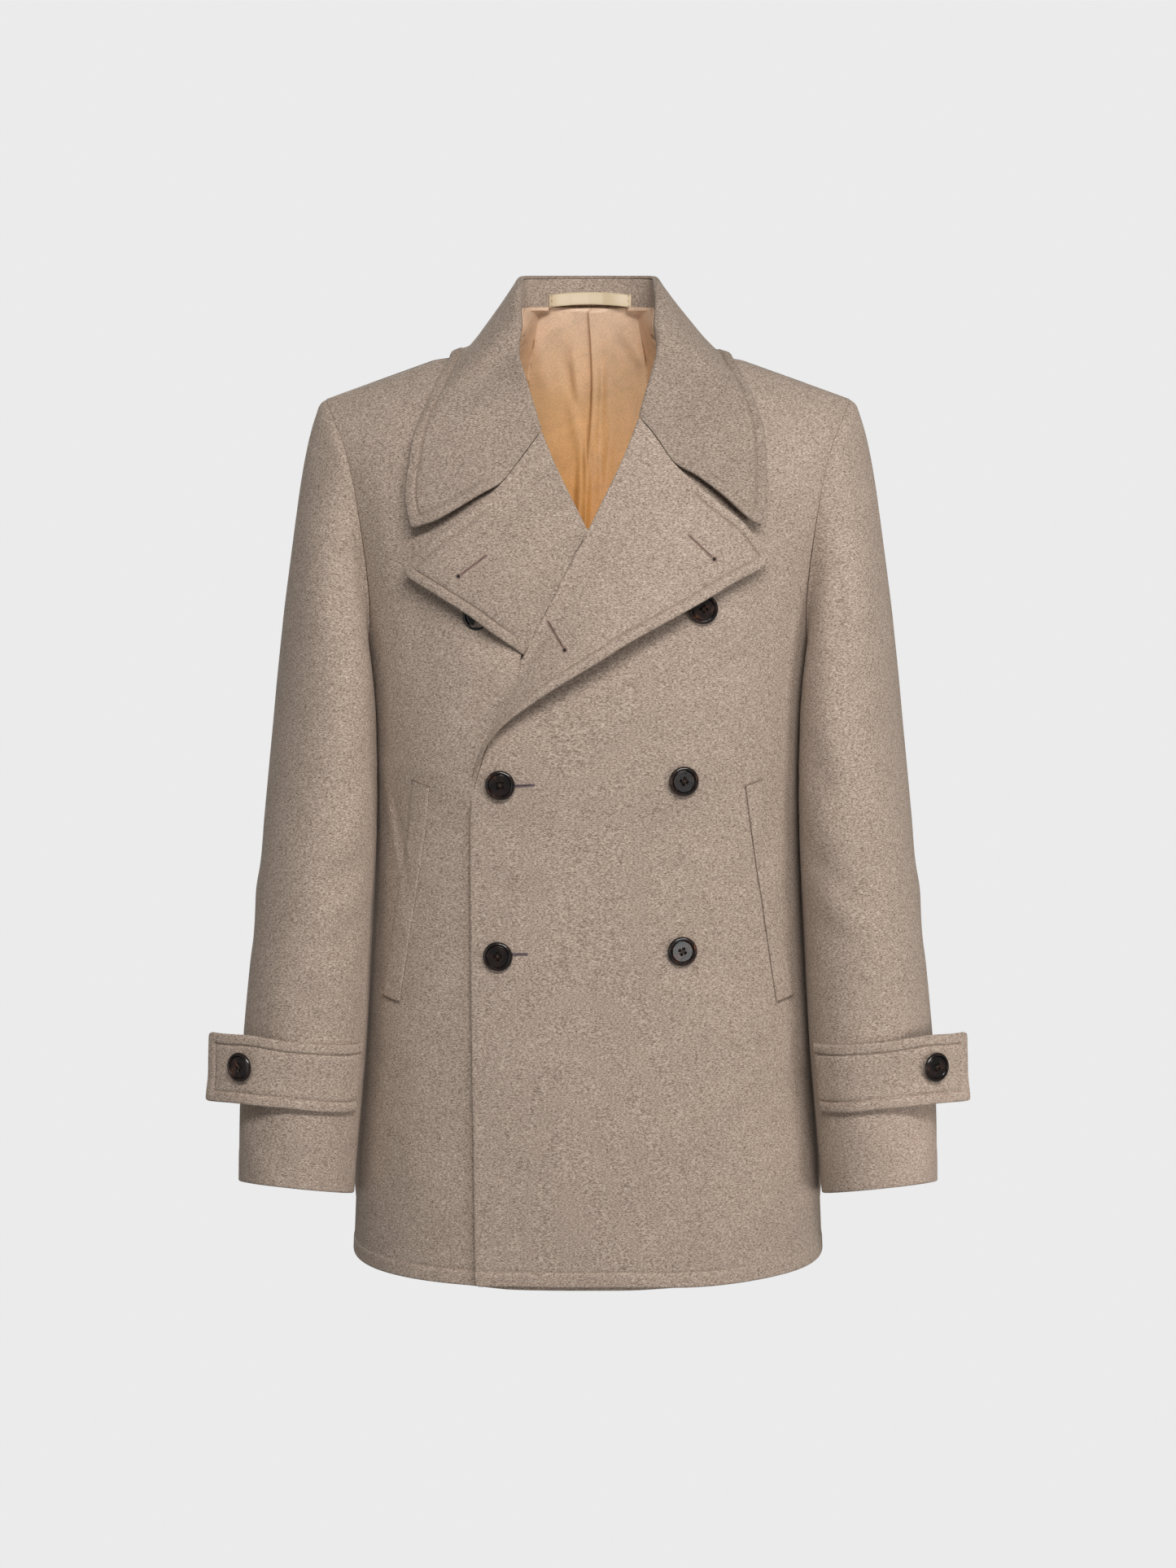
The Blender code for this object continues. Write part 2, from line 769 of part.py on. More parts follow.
def stand_lines():
    lines = []
    folds = [Vector((row.fold_x, row.fold_y, row.fold_z)) for row in NECK_STATIONS]
    for seam, fold in zip(STAND_STATIONS, folds):
        foot = Vector((seam.seam_x, seam.seam_y, seam.seam_z))
        flat = Vector((fold.x, fold.y + 8, 0)).normalized()
        top = fold - flat * (WOOL_WALL + SEAM_GAP + 0.6)
        lines.append([foot, foot.lerp(top, 0.5), top])
    return lines


def stand_grids():
    lines = stand_lines()
    outer = both_sides(lines, lines)
    normals = grid_normals(outer, False)
    if normals[len(outer) // 2][1].y < 0:
        normals = [[-n for n in line] for line in normals]
    inner = [[p - n * WOOL_WALL for p, n in zip(a, b)] for a, b in zip(outer, normals)]
    return outer, inner


def make_stand(name):
    outer, inner = stand_grids()
    return wall(name, outer, inner, wool(name))


# ---- sleeves ----


def armhole_loop():
    """The left armhole's seam, from the shoulder tip down the front and up the back.

    Each place is X, Z and the face of the torso it lies on.
    """
    tip = (SHOULDER_TIP, crest(SHOULDER_TIP), FRONT)
    front = [(row.front_x, row.z, FRONT) for row in reversed(ARMHOLE)]
    pit = (read_table(TORSO, UNDERARM, "half_width"), UNDERARM, FRONT)
    back = [(row.back_x, row.z, BACK) for row in ARMHOLE]
    return [tip] + front + [pit] + back


def ring_point(row, angle):
    """A point of a sleeve ring. The angle turns from straight out towards the front."""
    turn = math.radians(row.turn)
    across = (row.reach**2 - (row.deep * math.sin(turn)) ** 2) ** 0.5 / math.cos(turn)
    out = Vector((math.cos(turn), -math.sin(turn), 0))
    ahead = Vector((-math.sin(turn), -math.cos(turn), 0))
    shift = out * (across * math.cos(angle)) + ahead * (row.deep * math.sin(angle))
    outer_rise = OUTER_RISE + CUFF_RISE * smooth(-640, -705, row.z)
    rise = outer_rise * shift.x - row.front_rise * shift.y
    return Vector((row.x, row.y, row.z + rise)) + shift


def sleeve_row_at(z):
    values = {name: read_table(SLEEVE, z, name) for name in SleeveRow._fields[1:]}
    return SleeveRow(z=z, **values)


def station_angle(index):
    return 2 * math.pi * index / SLEEVE_STATIONS


def cap_point(start, end, angle, t):
    """A point of the sleeve cap, on a curve from the armhole down to the first ring."""
    top = (1 + math.cos(angle)) / 2
    leave = Vector((0.9, -0.28 * math.sin(angle), -0.36 - 0.46 * (1 - top)))
    leave = leave.normalized() * (10 + 52 * top**0.7)
    arrive = Vector((0.05, -0.05, -1)) * (42 + 205 * top)
    return (
        start * (2 * t**3 - 3 * t**2 + 1)
        + leave * (t**3 - 2 * t**2 + t)
        + end * (3 * t**2 - 2 * t**3)
        + arrive * (t**3 - t**2)
    )


def sleeve_rings():
    loop = [skin(*place) for place in armhole_loop()]
    angles = [station_angle(i) for i in range(SLEEVE_STATIONS)]
    first = [keep_clear(ring_point(SLEEVE[0], a), BODY_CLEARANCE) for a in angles]
    rings = []
    for t in CAP_STEPS:
        ring = []
        for start, end, angle in zip(loop, first, angles):
            place = cap_point(start, end, angle, t)
            if t > 0 and math.cos(angle) < CLEAR_BELOW:
                place = keep_clear(place, BODY_CLEARANCE * min(1, 5 * t))
            ring.append(place)
        rings.append(ring)
    start_ring = rings[0]
    next_ring = rings[1]
    rings[0] = [p + (q - p).normalized() * SEAM_GAP for p, q in zip(start_ring, next_ring)]
    rings.append(first)
    for row in SLEEVE[1:]:
        rings.append([keep_clear(ring_point(row, a), BODY_CLEARANCE) for a in angles])
    return rings


def make_sleeve_piece(name, side, first, last):
    """The part of the sleeve between two seams, as stations counted from the shoulder tip."""
    rings = sleeve_rings()
    normals = grid_normals(rings, True)
    sample = normals[-1][0]
    if sample.x < 0:
        normals = [[-n for n in line] for line in normals]
    for k, place in enumerate(armhole_loop()):
        share = smooth(-0.3, 0.5, math.cos(station_angle(k)))
        normals[0][k] = normals[0][k].lerp(outward(*place), share).normalized()
    stations = [k % SLEEVE_STATIONS for k in range(first, last + 1)]
    outer = [[ring[k] for k in stations] for ring in rings]
    inner = [[ring[k] - n[k] * WOOL_WALL for k in stations] for ring, n in zip(rings, normals)]
    pull_in(outer, inner, ("first_column", "last_column"))
    return wall(name, mirrored(outer, side), mirrored(inner, side), wool(name))


def strap_place(row, z):
    """Foot of a strap's inner face at one height, and its direction away from the sleeve."""
    ring = sleeve_row_at(z)
    angle = math.radians(row.angle)
    here = ring_point(ring, angle)
    step = math.radians(2)
    along = ring_point(ring, angle + step) - ring_point(ring, angle - step)
    away = Vector((-along.y, along.x, 0)).normalized()
    if away.dot(here - Vector((ring.x, ring.y, here.z))) < 0:
        away = -away
    return here + away * row.lift, away


def make_strap(name, side):
    inner = []
    outer = []
    for share in (0, 0.5, 1):
        inner_line = []
        outer_line = []
        for row in STRAP:
            z = STRAP_TOP - STRAP_HEIGHT * share
            z -= STRAP_TAPER * smooth(90, 0, row.angle) * (1 - share)
            z -= STRAP_DROP * smooth(70, 142, row.angle)
            if row is STRAP[-1]:
                z += STRAP_CORNER * (2 * share - 1)
            place, away = strap_place(row, z)
            inner_line.append(place)
            outer_line.append(place + away * STRAP_WALL)
        inner.append(inner_line)
        outer.append(outer_line)
    return wall(name, mirrored(outer, side), mirrored(inner, side), wool(name))


# ---- what is sewn on ----


def make_welt(name, side):
    outer = []
    inner = []
    for i in range(WELT_ROWS):
        t = i / (WELT_ROWS - 1)
        line = []
        for across, z in (
            (mix(WELT_TOP.inner_x, WELT_FOOT.inner_x, t), mix(WELT_TOP.inner_z, WELT_FOOT.inner_z, t)),
            (mix(WELT_TOP.outer_x, WELT_FOOT.outer_x, t), mix(WELT_TOP.outer_z, WELT_FOOT.outer_z, t)),
        ):
            line.append((across, z, front_lift(across, z, side) + 2 * SEAM_GAP))
        middle = tuple((a + b) / 2 for a, b in zip(*line))
        line.insert(1, middle)
        outer.append([skin(x, z, FRONT, lift + WELT_WALL) for x, z, lift in line])
        inner.append([skin(x, z, FRONT, lift) for x, z, lift in line])
    return wall(name, mirrored(outer, side), mirrored(inner, side), wool(name))


def make_button_mesh():
    """A turned disc with a raised rim, cut by four holes."""
    points = []
    for radius, height in BUTTON_PROFILE:
        for k in range(BUTTON_SIDES):
            turn = 2 * math.pi * k / BUTTON_SIDES
            points.append(Vector((radius * math.cos(turn), radius * math.sin(turn), height)))
    faces = [tuple(reversed(range(BUTTON_SIDES)))]
    for i in range(len(BUTTON_PROFILE) - 1):
        for k in range(BUTTON_SIDES):
            here = i * BUTTON_SIDES + k
            beside = i * BUTTON_SIDES + (k + 1) % BUTTON_SIDES
            faces.append((here, beside, beside + BUTTON_SIDES, here + BUTTON_SIDES))
    top = (len(BUTTON_PROFILE) - 1) * BUTTON_SIDES
    faces.append(tuple(range(top, top + BUTTON_SIDES)))
    horn = finish("dark_horn", (0.035, 0.026, 0.022), 0.3)
    blank = add_object("button_blank", points, faces, horn)
    cutter = make_hole_cutter(horn)
    cut = blank.modifiers.new("holes", "BOOLEAN")
    cut.operation = "DIFFERENCE"
    cut.solver = "EXACT"
    cut.object = cutter
    graph = bpy.context.evaluated_depsgraph_get()
    graph.update()
    mesh = bpy.data.meshes.new_from_object(blank.evaluated_get(graph))
    mesh.name = "button"
    bpy.data.objects.remove(blank)
    bpy.data.objects.remove(cutter)
    return mesh


def make_hole_cutter(material):
    points = []
    faces = []
    for right, up in ((1, 1), (-1, 1), (-1, -1), (1, -1)):
        base = len(points)
        for height in (-1.0, BUTTON_HEIGHT + 1.0):
            for k in range(HOLE_SIDES):
                turn = 2 * math.pi * k / HOLE_SIDES
                x = right * HOLE_OFFSET + HOLE_RADIUS * math.cos(turn)
                y = up * HOLE_OFFSET + HOLE_RADIUS * math.sin(turn)
                points.append(Vector((x, y, height)))
        faces.append(tuple(base + k for k in reversed(range(HOLE_SIDES))))
        faces.append(tuple(base + HOLE_SIDES + k for k in range(HOLE_SIDES)))
        for k in range(HOLE_SIDES):
            beside = (k + 1) % HOLE_SIDES
            faces.append((base + k, base + beside, base + HOLE_SIDES + beside, base + HOLE_SIDES + k))
    cutter = add_object("hole_cutter", points, faces, material)
    cutter.hide_render = True
    cutter.display_type = "WIRE"
    return cutter


def place_button(name, mesh, seat, away):
    button = bpy.data.objects.new(name, mesh)
    button.location = (seat + away * BUTTON_GAP) * MM
    button.rotation_mode = "QUATERNION"
    button.rotation_quaternion = away.to_track_quat("Z", "Y")
    bpy.context.scene.collection.objects.link(button)


def make_buttons():
    mesh = make_button_mesh()
    for place in BUTTONS:
        lift = 0.0
        if place.layer == "over":
            lift = front_lift(place.x, place.z, OVER)
        seat = skin(place.x, place.z, FRONT, lift)
        place_button(place.name, mesh, seat, outward(place.x, place.z, FRONT))
    places = []
    for angle in (CUFF_BUTTON_ANGLE - 6, CUFF_BUTTON_ANGLE, CUFF_BUTTON_ANGLE + 6):
        row = StrapRow(angle, read_table(STRAP, angle, "lift"))
        places.append(strap_place(row, CUFF_BUTTON_Z))
    place, away = places[1]
    along = (places[0][0] - places[2][0]).normalized()
    away = (away - along * away.dot(along)).normalized()
    seat = place + away * (STRAP_WALL + 0.6)
    for name, side in (("cuff_button_left", 1), ("cuff_button_right", -1)):
        flip = Vector((side, 1, 1))
        place_button(name, mesh, seat * flip, (away * flip).normalized())


def stand_inside(x, z):
    """Y of the stand's inner face at one place across its back."""
    _, inner = stand_grids()
    lines = inner[len(inner) // 2 :]
    k = 0
    while abs(x) > lines[k + 1][0].x:
        k += 1
    near = lines[k]
    far = lines[k + 1]
    share = (abs(x) - near[0].x) / (far[0].x - near[0].x)
    foot = near[0].lerp(far[0], share)
    top = near[-1].lerp(far[-1], share)
    return mix(foot.y, top.y, (z - foot.z) / (top.z - foot.z))


def make_hanger_loop(name):
    """A tape sewn at both ends inside the stand, bowed clear of it between them."""
    outer = []
    inner = []
    for share in (0, 1):
        outer_line = []
        inner_line = []
        for k in range(-5, 6):
            t = k / 5
            x = LOOP_CENTRE + t * LOOP_HALF
            z = mix(LOOP_BOTTOM, LOOP_TOP, share) + LOOP_RISE * (1 - t * t)
            y = stand_inside(x, z) - 1.5 * SEAM_GAP - LOOP_BOW * (1 - t**4)
            outer_line.append(Vector((x, y, z)))
            inner_line.append(Vector((x, y - TAPE_WALL, z)))
        outer.append(outer_line)
        inner.append(inner_line)
    return wall(name, outer, inner, finish("loop_tape", (0.75, 0.66, 0.5), 0.8))


def make_lining(name):
    """The back lining, one panel from side to side with a pleat folded at the centre."""
    grid = [line for line in back_grid() if line[0][1] > LINING_FOOT]
    foot = [(x * 0.995, LINING_FOOT) for x, _ in grid[0]]
    grid.insert(0, foot)
    outer = []
    inner = []
    for i, line in enumerate(grid):
        near_neck = i == len(grid) - 1
        gap = LAYER_GAP / 2 if near_neck else LAYER_GAP
        half = line[:LINING_COLUMNS]
        row = [(-x, z) for x, z in reversed(half[1:])] + half
        outer_line = []
        inner_line = []
        for x, z in row:
            pleat = PLEAT_DEPTH * max(0.0, 1 - abs(x) / PLEAT_REACH) if x <= 0 else 0.0
            out = -(WOOL_WALL + gap + pleat)
            outer_line.append(skin(x, z, BACK, out))
            inner_line.append(skin(x, z, BACK, out - LINING_WALL))
        outer.append(outer_line)
        inner.append(inner_line)
    return wall(name, outer, inner, finish("tan_lining", (0.5, 0.33, 0.17), 0.6))


def clear_scene():
    for thing in list(bpy.data.objects):
        bpy.data.objects.remove(thing)


def main():
    clear_scene()
    make_front("front_over", OVER)
    make_front("front_under", UNDER)
    make_back("back_left", 1)
    make_back("back_right", -1)
    make_lapel("lapel_over", OVER)
    make_lapel("lapel_under", UNDER)
    make_leaf("collar_leaf")
    make_stand("collar_stand")
    for word, side in (("left", 1), ("right", -1)):
        last = FRONT_SEAM_STATION + SLEEVE_STATIONS
        make_sleeve_piece("top_sleeve_" + word, side, BACK_SEAM_STATION, last)
        make_sleeve_piece("under_sleeve_" + word, side, FRONT_SEAM_STATION, BACK_SEAM_STATION)
        make_strap("strap_" + word, side)
    make_welt("welt_left", OVER)
    make_welt("welt_right", UNDER)
    make_buttons()
    make_hanger_loop("hanger_loop")
    make_lining("back_lining")


main()
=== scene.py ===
# A double-breasted pea coat in milled melange wool, filled out as worn with nobody in it.
# Sizes are in millimetres in the coat's own frame (-Y the front, +X the wearer's left)
# and turn to metres when a mesh is made.
import json
import math

import bmesh
import bpy
import numpy as np
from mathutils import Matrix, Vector
from mathutils.bvhtree import BVHTree

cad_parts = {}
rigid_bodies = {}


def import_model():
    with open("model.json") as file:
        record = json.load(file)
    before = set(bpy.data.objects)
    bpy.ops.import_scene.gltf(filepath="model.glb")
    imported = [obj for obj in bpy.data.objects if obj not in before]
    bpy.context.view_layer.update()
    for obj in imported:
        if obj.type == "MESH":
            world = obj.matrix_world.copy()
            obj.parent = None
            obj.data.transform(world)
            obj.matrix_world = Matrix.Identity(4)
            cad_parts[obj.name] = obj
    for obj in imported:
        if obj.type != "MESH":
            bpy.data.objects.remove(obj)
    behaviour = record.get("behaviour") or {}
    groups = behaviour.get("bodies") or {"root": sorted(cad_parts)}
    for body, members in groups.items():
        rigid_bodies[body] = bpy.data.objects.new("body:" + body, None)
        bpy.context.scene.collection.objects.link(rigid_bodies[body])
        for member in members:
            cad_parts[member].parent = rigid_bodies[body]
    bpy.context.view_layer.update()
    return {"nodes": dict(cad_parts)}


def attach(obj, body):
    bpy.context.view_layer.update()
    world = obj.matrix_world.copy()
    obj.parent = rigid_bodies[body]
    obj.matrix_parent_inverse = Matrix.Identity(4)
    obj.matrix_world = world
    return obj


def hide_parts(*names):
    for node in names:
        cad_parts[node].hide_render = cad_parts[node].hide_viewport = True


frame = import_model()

mm = 0.001
print("frame loaded:", len(frame["nodes"]), "nodes")


def smooth(low, high, value):
    t = np.clip((np.asarray(value, float) - low) / (high - low), 0, 1)
    return t * t * (3 - 2 * t)


def mix(a, b, t):
    return a + (b - a) * t


def unit(v):
    return v / np.maximum(np.linalg.norm(v, axis=-1, keepdims=True), 1e-9)


def raised(place, normal, height):
    return place + normal * np.asarray(height)[..., None]


# The weights of a curve between two places with a slope at each
def hermite(t):
    return 2 * t**3 - 3 * t**2 + 1, t**3 - 2 * t**2 + t, 3 * t**2 - 2 * t**3, t**3 - t**2


def lengths(points):
    steps = np.linalg.norm(np.diff(points, axis=0), axis=-1)
    return np.concatenate([[0], np.cumsum(steps)])


# A soft curve through a table's values, level with the chord between neighbours
def curveThrough(keys, values):
    order = np.argsort(keys)
    k = np.asarray(keys, float)[order]
    v = np.asarray(values, float)[order]
    slope = np.gradient(v, axis=0)
    span = np.gradient(k)
    span[1:-1] = (k[2:] - k[:-2]) / 2
    slope = slope / span.reshape([-1] + [1] * (v.ndim - 1))

    def read(x):
        x = np.clip(np.asarray(x, float), k[0], k[-1])
        i = np.clip(np.searchsorted(k, x, side="right") - 1, 0, len(k) - 2)
        step = k[i + 1] - k[i]
        t = (x - k[i]) / step
        if v.ndim > 1:
            shape = list(np.shape(x)) + [1] * (v.ndim - 1)
            step = np.reshape(step, shape)
            t = np.reshape(t, shape)
        a, b, c, d = hermite(t)
        return a * v[i] + b * step * slope[i] + c * v[i + 1] + d * step * slope[i + 1]

    return read


# One curve for each column of a table, read by its first column
def columnCurves(rows):
    table = np.array(rows, float)
    return [curveThrough(table[:, 0], table[:, k]) for k in range(1, table.shape[1])]


# The body's form: rounded sections under shoulders that slope from the neck
body = {
    # height, half width, depth to the front, depth to the back, how square the section is
    "rows": [
        (42, 236, 46, 58, 2.5), (14, 234, 51, 63, 2.5), (-35, 231, 68, 80, 2.5),
        (-60, 228, 79, 90, 2.5), (-95, 222, 93, 99, 2.5), (-150, 206, 110, 107, 2.6),
        (-200, 193, 118, 109, 2.6), (-262, 183, 121, 107, 2.7), (-330, 176, 121, 102, 2.9),
        (-410, 176, 119, 98, 2.9), (-500, 180, 119, 101, 2.8), (-600, 187, 122, 108, 2.7),
        (-700, 195, 124, 114, 2.6), (-774, 199, 125, 118, 2.5),
    ],
    "hem": -774, "underarm": -262, "neckHalf": 57, "neckPoint": -3.4, "backNeck": 14,
    "neckSquare": 14, "slope": 0.349, "tip": 214, "shoulderRound": 62, "collarDip": 3.0,
    "frontRise": 2.2, "backRise": 5.0, "wool": 2.4, "layerGap": 1.0,
}
halfWidthAt, frontAt, backAt, squareAt = columnCurves(body["rows"])


def crest(x, front):
    x = np.abs(x)
    dip = body["collarDip"] * smooth(body["neckHalf"], 75, x) * smooth(128, 108, x)
    shoulder = body["neckPoint"] - body["slope"] * (x - body["neckHalf"]) - dip
    rise = np.where(front, body["frontRise"], body["backRise"])
    neck = body["neckPoint"] + rise * (body["neckHalf"] - x)
    return np.where(x >= body["neckHalf"], shoulder, neck)


# The panels' upper edge: the neck seam, then the shoulder seam
def topLine(x):
    x = np.abs(x)
    share = np.minimum(x / body["neckHalf"], 1) ** body["neckSquare"]
    neck = mix(body["backNeck"], body["neckPoint"], share)
    return np.where(x >= body["neckHalf"], crest(x, False), neck)


def rounding(below):
    t = np.minimum(below / body["shoulderRound"], 1)
    return 2 * t - t * np.abs(t)


def bodyDepth(x, z, front):
    depth = np.where(front, frontAt(z), backAt(z))
    square = squareAt(z)
    across = 1 - np.minimum(np.abs(x) / halfWidthAt(z), 1) ** square
    share = np.sqrt(np.clip(rounding(crest(x, front) - z), 0, None))
    return np.where(front, -1, 1) * depth * np.clip(across, 0, None) ** (1 / square) * share


def bodyField(p):
    x, y, z = p[..., 0], p[..., 1], p[..., 2]
    front = y < 0
    depth = np.where(front, frontAt(z), backAt(z))
    square = squareAt(z)
    across = 1 - (np.abs(x) / halfWidthAt(z)) ** square
    roundOff = rounding(crest(x, front) - z)
    share = np.sign(roundOff) * np.abs(roundOff) ** (square / 2)
    deep = (np.abs(y) / depth) ** square
    return np.where((across < 0) & (share < 0), deep - across - share, deep - across * share)


def fieldSlope(p):
    step = 0.05
    slope = np.zeros_like(p)
    for axis in range(3):
        shift = np.zeros(3)
        shift[axis] = step
        slope[..., axis] = (bodyField(p + shift) - bodyField(p - shift)) / (2 * step)
    return slope


# A place on the body's skin and the way out of it
def onBody(x, z, front):
    z = z + 0.0 * x
    x = x + 0.0 * z
    top = crest(x, front)
    inside = np.minimum(z, top - 0.5)
    y = bodyDepth(x, inside, front)
    slope = fieldSlope(np.stack([x, y, inside], -1))
    flat = (top - z < 0.01) | (np.abs(y) < 0.01)
    slope[..., 1] = np.where(flat, 0, slope[..., 1])
    place = np.stack([x, bodyDepth(x, z, front), z], -1)
    return place, unit(slope)


# Moves points out until they lie this far from the body
def keepClear(p, clearance):
    p = np.array(p, float)
    for _ in range(4):
        slope = fieldSlope(p)
        size = np.linalg.norm(slope, axis=-1, keepdims=True)
        distance = bodyField(p)[..., None] / np.maximum(size, 1e-9)
        clear = np.asarray(clearance, float) + np.zeros(p.shape[:-1])
        p += slope / np.maximum(size, 1e-9) * np.clip(clear[..., None] - distance, 0, None)
    return p


def angleAt(x, z):
    share = np.minimum(np.abs(x) / halfWidthAt(z), 1)
    return np.sign(x) * np.arcsin(share ** (squareAt(z) / 2))


def acrossAt(angle, z):
    return np.sign(angle) * halfWidthAt(z) * np.abs(np.sin(angle)) ** (2 / squareAt(z))


cutLines = {
    # armhole: height, front panel's end, back panel's end
    "armhole": [
        (-255, 179.0, 180.0), (-240, 176.5, 180.0), (-215, 176.5, 181.5), (-185, 179.0, 184.0),
        (-152, 183.4, 187.5), (-122, 188.5, 191.5), (-94, 196.0, 197.5), (-75, 205.0, 205.0),
        (-64.5, 210.5, 210.5),
    ],
    # front edge and roll line: height, distance past the centre
    "edge": [
        (-3.4, -57.0), (-20, -54.2), (-42, -48.4), (-72, -39.2), (-105, -26.2), (-135, -11.5),
        (-158, 0.3), (-190, 17.5), (-254, 50.0), (-312, 76.0), (-352, 89.5), (-400, 94.0),
        (-774, 92.0),
    ],
    "underLimit": 76.0,
    # panel rows from the hem up: height at the front edge, height at the side
    "low": [
        (-774, -774), (-735, -735), (-690, -690), (-635, -635), (-575, -575), (-515, -515),
        (-455, -450), (-400, -388), (-352, -335), (-312, -297), (-275, -262),
    ],
    "roll": (-240, -215, -190, -165, -135, -105, -72, -40, -16), "pullBack": 3.05,
    "pullEnds": (-374, -348),
}
(pastAt,) = columnCurves(cutLines["edge"])
tipHeight = float(crest(body["tip"], False))
armRows = np.array(cutLines["armhole"], float)
lowRows = np.array(cutLines["low"], float)
lowCount = len(lowRows)
rowCount = lowCount + len(armRows) + 1
sideWidths = halfWidthAt(lowRows[:, 1])
edgeHeightAt, sideHeightAt, frontEndAt, backEndAt = [
    curveThrough(np.arange(rowCount), np.concatenate([low, high, [tip]]))
    for low, high, tip in (
        (lowRows[:, 0], cutLines["roll"], body["neckPoint"]),
        (lowRows[:, 1], armRows[:, 0], tipHeight), (sideWidths, armRows[:, 1], body["tip"]),
        (sideWidths, armRows[:, 2], body["tip"]),
    )
]


# The front's cut edge lies back inside the lapel's fold, above the heights of pullEnds
def pulledBack(z):
    return cutLines["pullBack"] * smooth(*cutLines["pullEnds"], z)


def edgePast(z, side):
    past = pastAt(z)
    return past if side > 0 else np.minimum(past, cutLines["underLimit"])


lapEnds = (-165, -60)  # the heights over which the lapped layers end below the neck


# Where the wearer's left front lies: it clears the layers that it laps over
def overTop(across, z):
    layer = body["wool"] + body["layerGap"]
    layers = 1 + smooth(-405, -345, z)
    return layer * layers * (1 - smooth(*lapEnds, z)) * (1 - smooth(92, 165, across))


lapStep = {
    "lapel": 3.05,  # a lapel's face over the front below it
    "reach": 92,  # how far the right side's swell runs from the other side's roll
    # the heights between which the swell begins at the bottom and ends at the top
    "low": (-410, -338), "high": lapEnds,
    "slit": (-262, -250),  # where the lower lapel goes under the roll
    "over": -1.5,  # the swell's step, from the roll line
    "under": 1.3,  # the same in the layer under the lapel
    "wall": 1.2,
    # places of the fine rows on both sides of the roll line
    "marks": (
        -1.9, -1.7, -1.52, -1.3, -1.0, -0.6, -0.3, 0, 0.5, 1.0, 1.3, 1.6, 2.2, 2.5, 2.8, 4, 7
    ),
}


# Distance of a place on the right side from the left side's roll line, over the cloth
def fromRoll(across, z):
    lean = (pastAt(z + 1) - pastAt(z - 1)) / 2
    return (across - pastAt(z)) / np.sqrt(1 + lean**2)


# The right side swells up to the left side's roll, so the two meet level, and it
# steps down under it. shift moves the step towards the side seam.
def underTop(across, z, shift=0.0):
    s = fromRoll(across, z)
    full = 2 * (body["wool"] + body["layerGap"])
    bare = lapStep["lapel"] * (1 - smooth(*lapStep["slit"], z))
    rise = (full + bare) * smooth(*lapStep["low"], z) * (1 - smooth(*lapStep["high"], z))
    corner = np.clip(1 - (s - shift) / 0.4, 0, 1)
    rise = rise - 0.15 * (1 - np.sqrt(1 - corner**2)) * np.minimum(rise, 1)
    fade = 1 - smooth(0, lapStep["reach"], s)
    ramp = np.clip((s - shift + 0.2) / 0.18, 0, 1)
    return rise * fade * ramp


def frontTop(across, z, side, shift=0.0):
    return overTop(across, z) if side > 0 else underTop(across, z, shift)


# Soft folds of the body cloth, on every layer alike: ends (x, z, x, z), half width and
# height; a trough is below 0
bodyFolds = {
    "front": [
        # short creases that fall from the pockets' inner edges
        (-163, -366, -149, -452, 3.0, 1.1), (-158, -372, -144.5, -456, 3.2, -1.5),
        (-149, -452, -147, -490, 5.0, 0.8), (-170, -342, -160, -372, 5.0, 0.7),
        (147, -372, 139, -445, 5.5, -1.3), (156, -390, 148, -470, 9.0, 1.0),
        # pulls towards the pockets' feet and the hem
        (-168, -548, -120, -640, 16.0, 1.6), (-150, -560, -96, -690, 22.0, -1.5),
        (168, -560, 140, -660, 16.0, 1.5), (150, -580, 108, -720, 24.0, -1.4),
        (-30, -560, -18, -745, 34.0, 1.3), (34, -540, 44, -750, 30.0, -1.1),
        # from the armholes across the chest
        (-150, -150, -128, -290, 18.0, -1.4), (152, -140, 132, -300, 18.0, -1.4),
        (-166, -110, -160, -205, 10.0, 1.2), (166, -110, 160, -205, 10.0, 1.2),
        (20, -300, 60, -420, 30.0, -0.9),
    ],
    "back": [
        # hollow between the shoulder blades, folds from the armholes, sway at the waist
        (-138, -150, -122, -300, 18.0, 2.0), (-118, -170, -100, -330, 20.0, -2.0),
        (140, -140, 126, -310, 18.0, 2.2), (118, -160, 104, -350, 22.0, -2.2),
        (-96, -392, 20, -405, 12.0, -1.5), (-30, -418, 92, -398, 13.0, 1.4),
        (-112, -450, -84, -720, 26.0, 2.2), (-52, -470, -38, -730, 24.0, -1.8),
        (108, -460, 78, -735, 26.0, 2.0), (50, -440, 34, -700, 24.0, -1.7),
        (0, -30, 0, -260, 40.0, -1.6),
    ],
}


def foldHeight(a, b, rows):
    height = np.zeros(np.broadcast(a, b).shape)
    for a0, b0, a1, b1, wide, high in rows:
        long = math.hypot(a1 - a0, b1 - b0)
        ua, ub = (a1 - a0) / long, (b1 - b0) / long
        along = (a - a0) * ua + (b - b0) * ub
        off = (a - a0) * ub - (b - b0) * ua
        ends = smooth(-0.18 * long, 0.3 * long, along) * smooth(1.18 * long, 0.7 * long, along)
        height += high * ends * np.exp(-((off / wide) ** 2))
    return height


def bodyFold(x, z, face):
    return foldHeight(x, z, bodyFolds[face])


marks = {
    "free": (0, 0.22, 0.65, 1.25, 1.9, 2.8, 4, 6),
    "stitched": (0, 0.22, 0.65, 1.25, 1.9, 2.8, 4, 5.5, 7, 8, 8.6, 9, 9.4, 10, 11.2, 13.5, 17),
    "hem": (0, 0.25, 0.7, 1.3, 2, 3, 5, 8, 11, 12.3, 12.8, 13.2, 13.7, 15, 18),
    "seam": (0, 0.14, 0.3, 0.5, 0.9, 1.6, 3),
}


